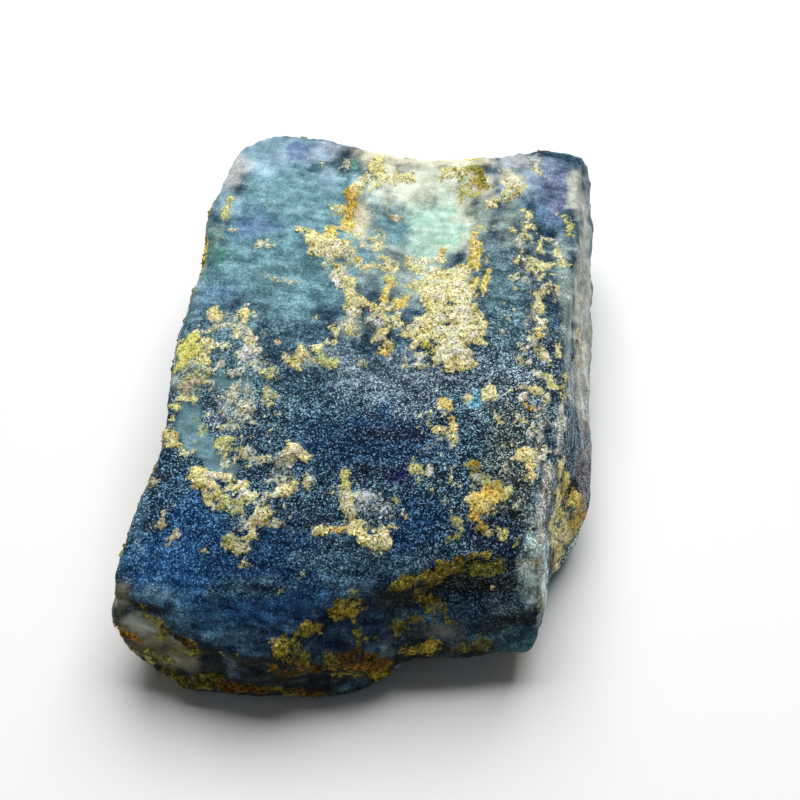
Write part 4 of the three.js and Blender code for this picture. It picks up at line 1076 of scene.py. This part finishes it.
def crumbMaterial():
    material, tree, shader = startMaterial("lapisCrumbs", rockFinish["crumbSpecular"])
    shader["Roughness"].default_value = rockFinish["crumbRoughness"]
    shade = mottle(tree, inMillimetres(tree))
    colour = grainColour(tree, reading(tree, "crustColour", "Color"), reading(tree, "tone"), shade)
    tree.links.new(colour, shader["Base Color"])
    return material


stone.data.materials.clear()
stone.data.materials.append(rockMaterial())
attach(stone, "root")
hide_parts("lapis_stone")
print("stone finished")


# loose-grained crust, as small solid crumbs and finer grit; radius in millimetres
crumbs = dict(perSquareMillimetre=3.0, radius=0.12, scale=(0.5, 1.5), uneven=0.5, seed=5)
grit = dict(perSquareMillimetre=10.0, radius=0.065, scale=(0.6, 1.4), uneven=0.4, seed=6)
looseness = (0.45, 0.75)  # how crumbly the crust is where the first grains lie, and all of them


def scatterTree(name, settings, material):
    # a geometry node group that sprinkles one small knobbly lump over the painted crust
    tree = bpy.data.node_groups.new(name, "GeometryNodeTree")
    tree.interface.new_socket("Geometry", in_out="INPUT", socket_type="NodeSocketGeometry")
    tree.interface.new_socket("Geometry", in_out="OUTPUT", socket_type="NodeSocketGeometry")
    size = settings["radius"] * mm
    uneven = settings["uneven"] * size
    small, large = settings["scale"]

    def add(kind, output, inputs, **options):
        return addNode(tree, kind, inputs, **options).outputs[output]

    def chance(seed, low, high):
        inputs = {0: (low,) * 3, 1: (high,) * 3, "Seed": seed}
        return add("FunctionNodeRandomValue", 0, inputs, data_type="FLOAT_VECTOR")

    where = add("GeometryNodeInputNamedAttribute", "Attribute", {"Name": "crumbly"}, data_type="FLOAT")
    most = settings["perSquareMillimetre"] / mm ** 2
    amount = {"Value": where, "From Min": looseness[0], "From Max": looseness[1], "To Max": most}
    amount = add("ShaderNodeMapRange", "Result", amount)
    spots = {"Mesh": addNode(tree, "NodeGroupInput").outputs[0], "Density": amount, "Seed": settings["seed"]}
    spots = add("GeometryNodeDistributePointsOnFaces", "Points", spots)

    lump = add("GeometryNodeMeshIcoSphere", "Mesh", {"Radius": size, "Subdivisions": 1})
    lump = {"Geometry": lump, "Offset": chance(3, -uneven, uneven)}
    lump = add("GeometryNodeSetPosition", "Geometry", lump)
    turn, scale = chance(7, 0, math.tau), chance(9, small, large)
    crumb = {"Points": spots, "Instance": lump, "Rotation": turn, "Scale": scale}
    crumb = add("GeometryNodeInstanceOnPoints", "Instances", crumb)

    tone = add("FunctionNodeRandomValue", 1, {"Seed": 11}, data_type="FLOAT")
    crumb = {"Geometry": crumb, "Name": "tone", "Value": tone}
    crumb = add("GeometryNodeStoreNamedAttribute", "Geometry", crumb, domain="INSTANCE")
    crumb = add("GeometryNodeRealizeInstances", "Geometry", {"Geometry": crumb})
    crumb = add("GeometryNodeSetMaterial", "Geometry", {"Geometry": crumb, "Material": material})
    addNode(tree, "NodeGroupOutput", {0: crumb})
    return tree


def sprinkle(name, settings, material):
    piece = copyOf(stone, name)
    push = piece.modifiers.new("sprinkle", "NODES")
    push.node_group = scatterTree(name, settings, material)
    applyModifier(piece, push)
    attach(piece, "root")
    print(name, len(piece.data.polygons), "faces")


crumbFinish = crumbMaterial()
sprinkle("crustCrumbs", crumbs, crumbFinish)
sprinkle("crustGrit", grit, crumbFinish)


# the table, the light and the camera
table = dict(size=1.6, colour=(0.92, 0.92, 0.91), roughness=0.8, specular=0.1)
light = dict(sky=(0.085, 0.087, 0.09), place=(0.04, 0.40, 0.54), size=0.60, power=7.1)  # metres, watts
view = dict(
    target=(2.79, 0.22, 7.0),
    distance=170.0,
    elevation=55.0,       # degrees
    focalPixels=1921.0,
    framePixels=800,
    sensor=36.0,
    clipStart=0.001,      # metres
)


def makeTable():
    deselectAll()
    bpy.ops.mesh.primitive_plane_add(size=table["size"], location=(0, 0, 0))
    floor = bpy.context.object
    floor.name = "table"
    material, tree, shader = startMaterial("paper", table["specular"])
    shader["Base Color"].default_value = (*table["colour"], 1)
    shader["Roughness"].default_value = table["roughness"]
    floor.data.materials.append(material)


def makeLight():
    world = bpy.data.worlds.new("softWhite")
    world.use_nodes = True
    world.node_tree.nodes["Background"].inputs["Color"].default_value = (*light["sky"], 1)
    bpy.context.scene.world = world
    bpy.ops.object.light_add(type="AREA", location=light["place"])
    lamp = bpy.context.object
    lamp.name = "softBox"
    lamp.data.size = light["size"]
    lamp.data.energy = light["power"]
    lamp.rotation_euler = (-Vector(light["place"])).to_track_quat("-Z", "Y").to_euler()
    bpy.context.scene.view_settings.view_transform = "Standard"


def makeCamera():
    tilt = math.radians(view["elevation"])
    target = Vector(view["target"]) * mm
    back = Vector((0, -math.cos(tilt), math.sin(tilt))) * view["distance"] * mm
    bpy.ops.object.camera_add(location=target + back, rotation=(math.pi / 2 - tilt, 0, 0))
    camera = bpy.context.object
    camera.data.sensor_width = view["sensor"]
    camera.data.lens = view["focalPixels"] * view["sensor"] / view["framePixels"]
    camera.data.clip_start = view["clipStart"]
    bpy.context.scene.camera = camera


makeTable()
makeLight()
makeCamera()
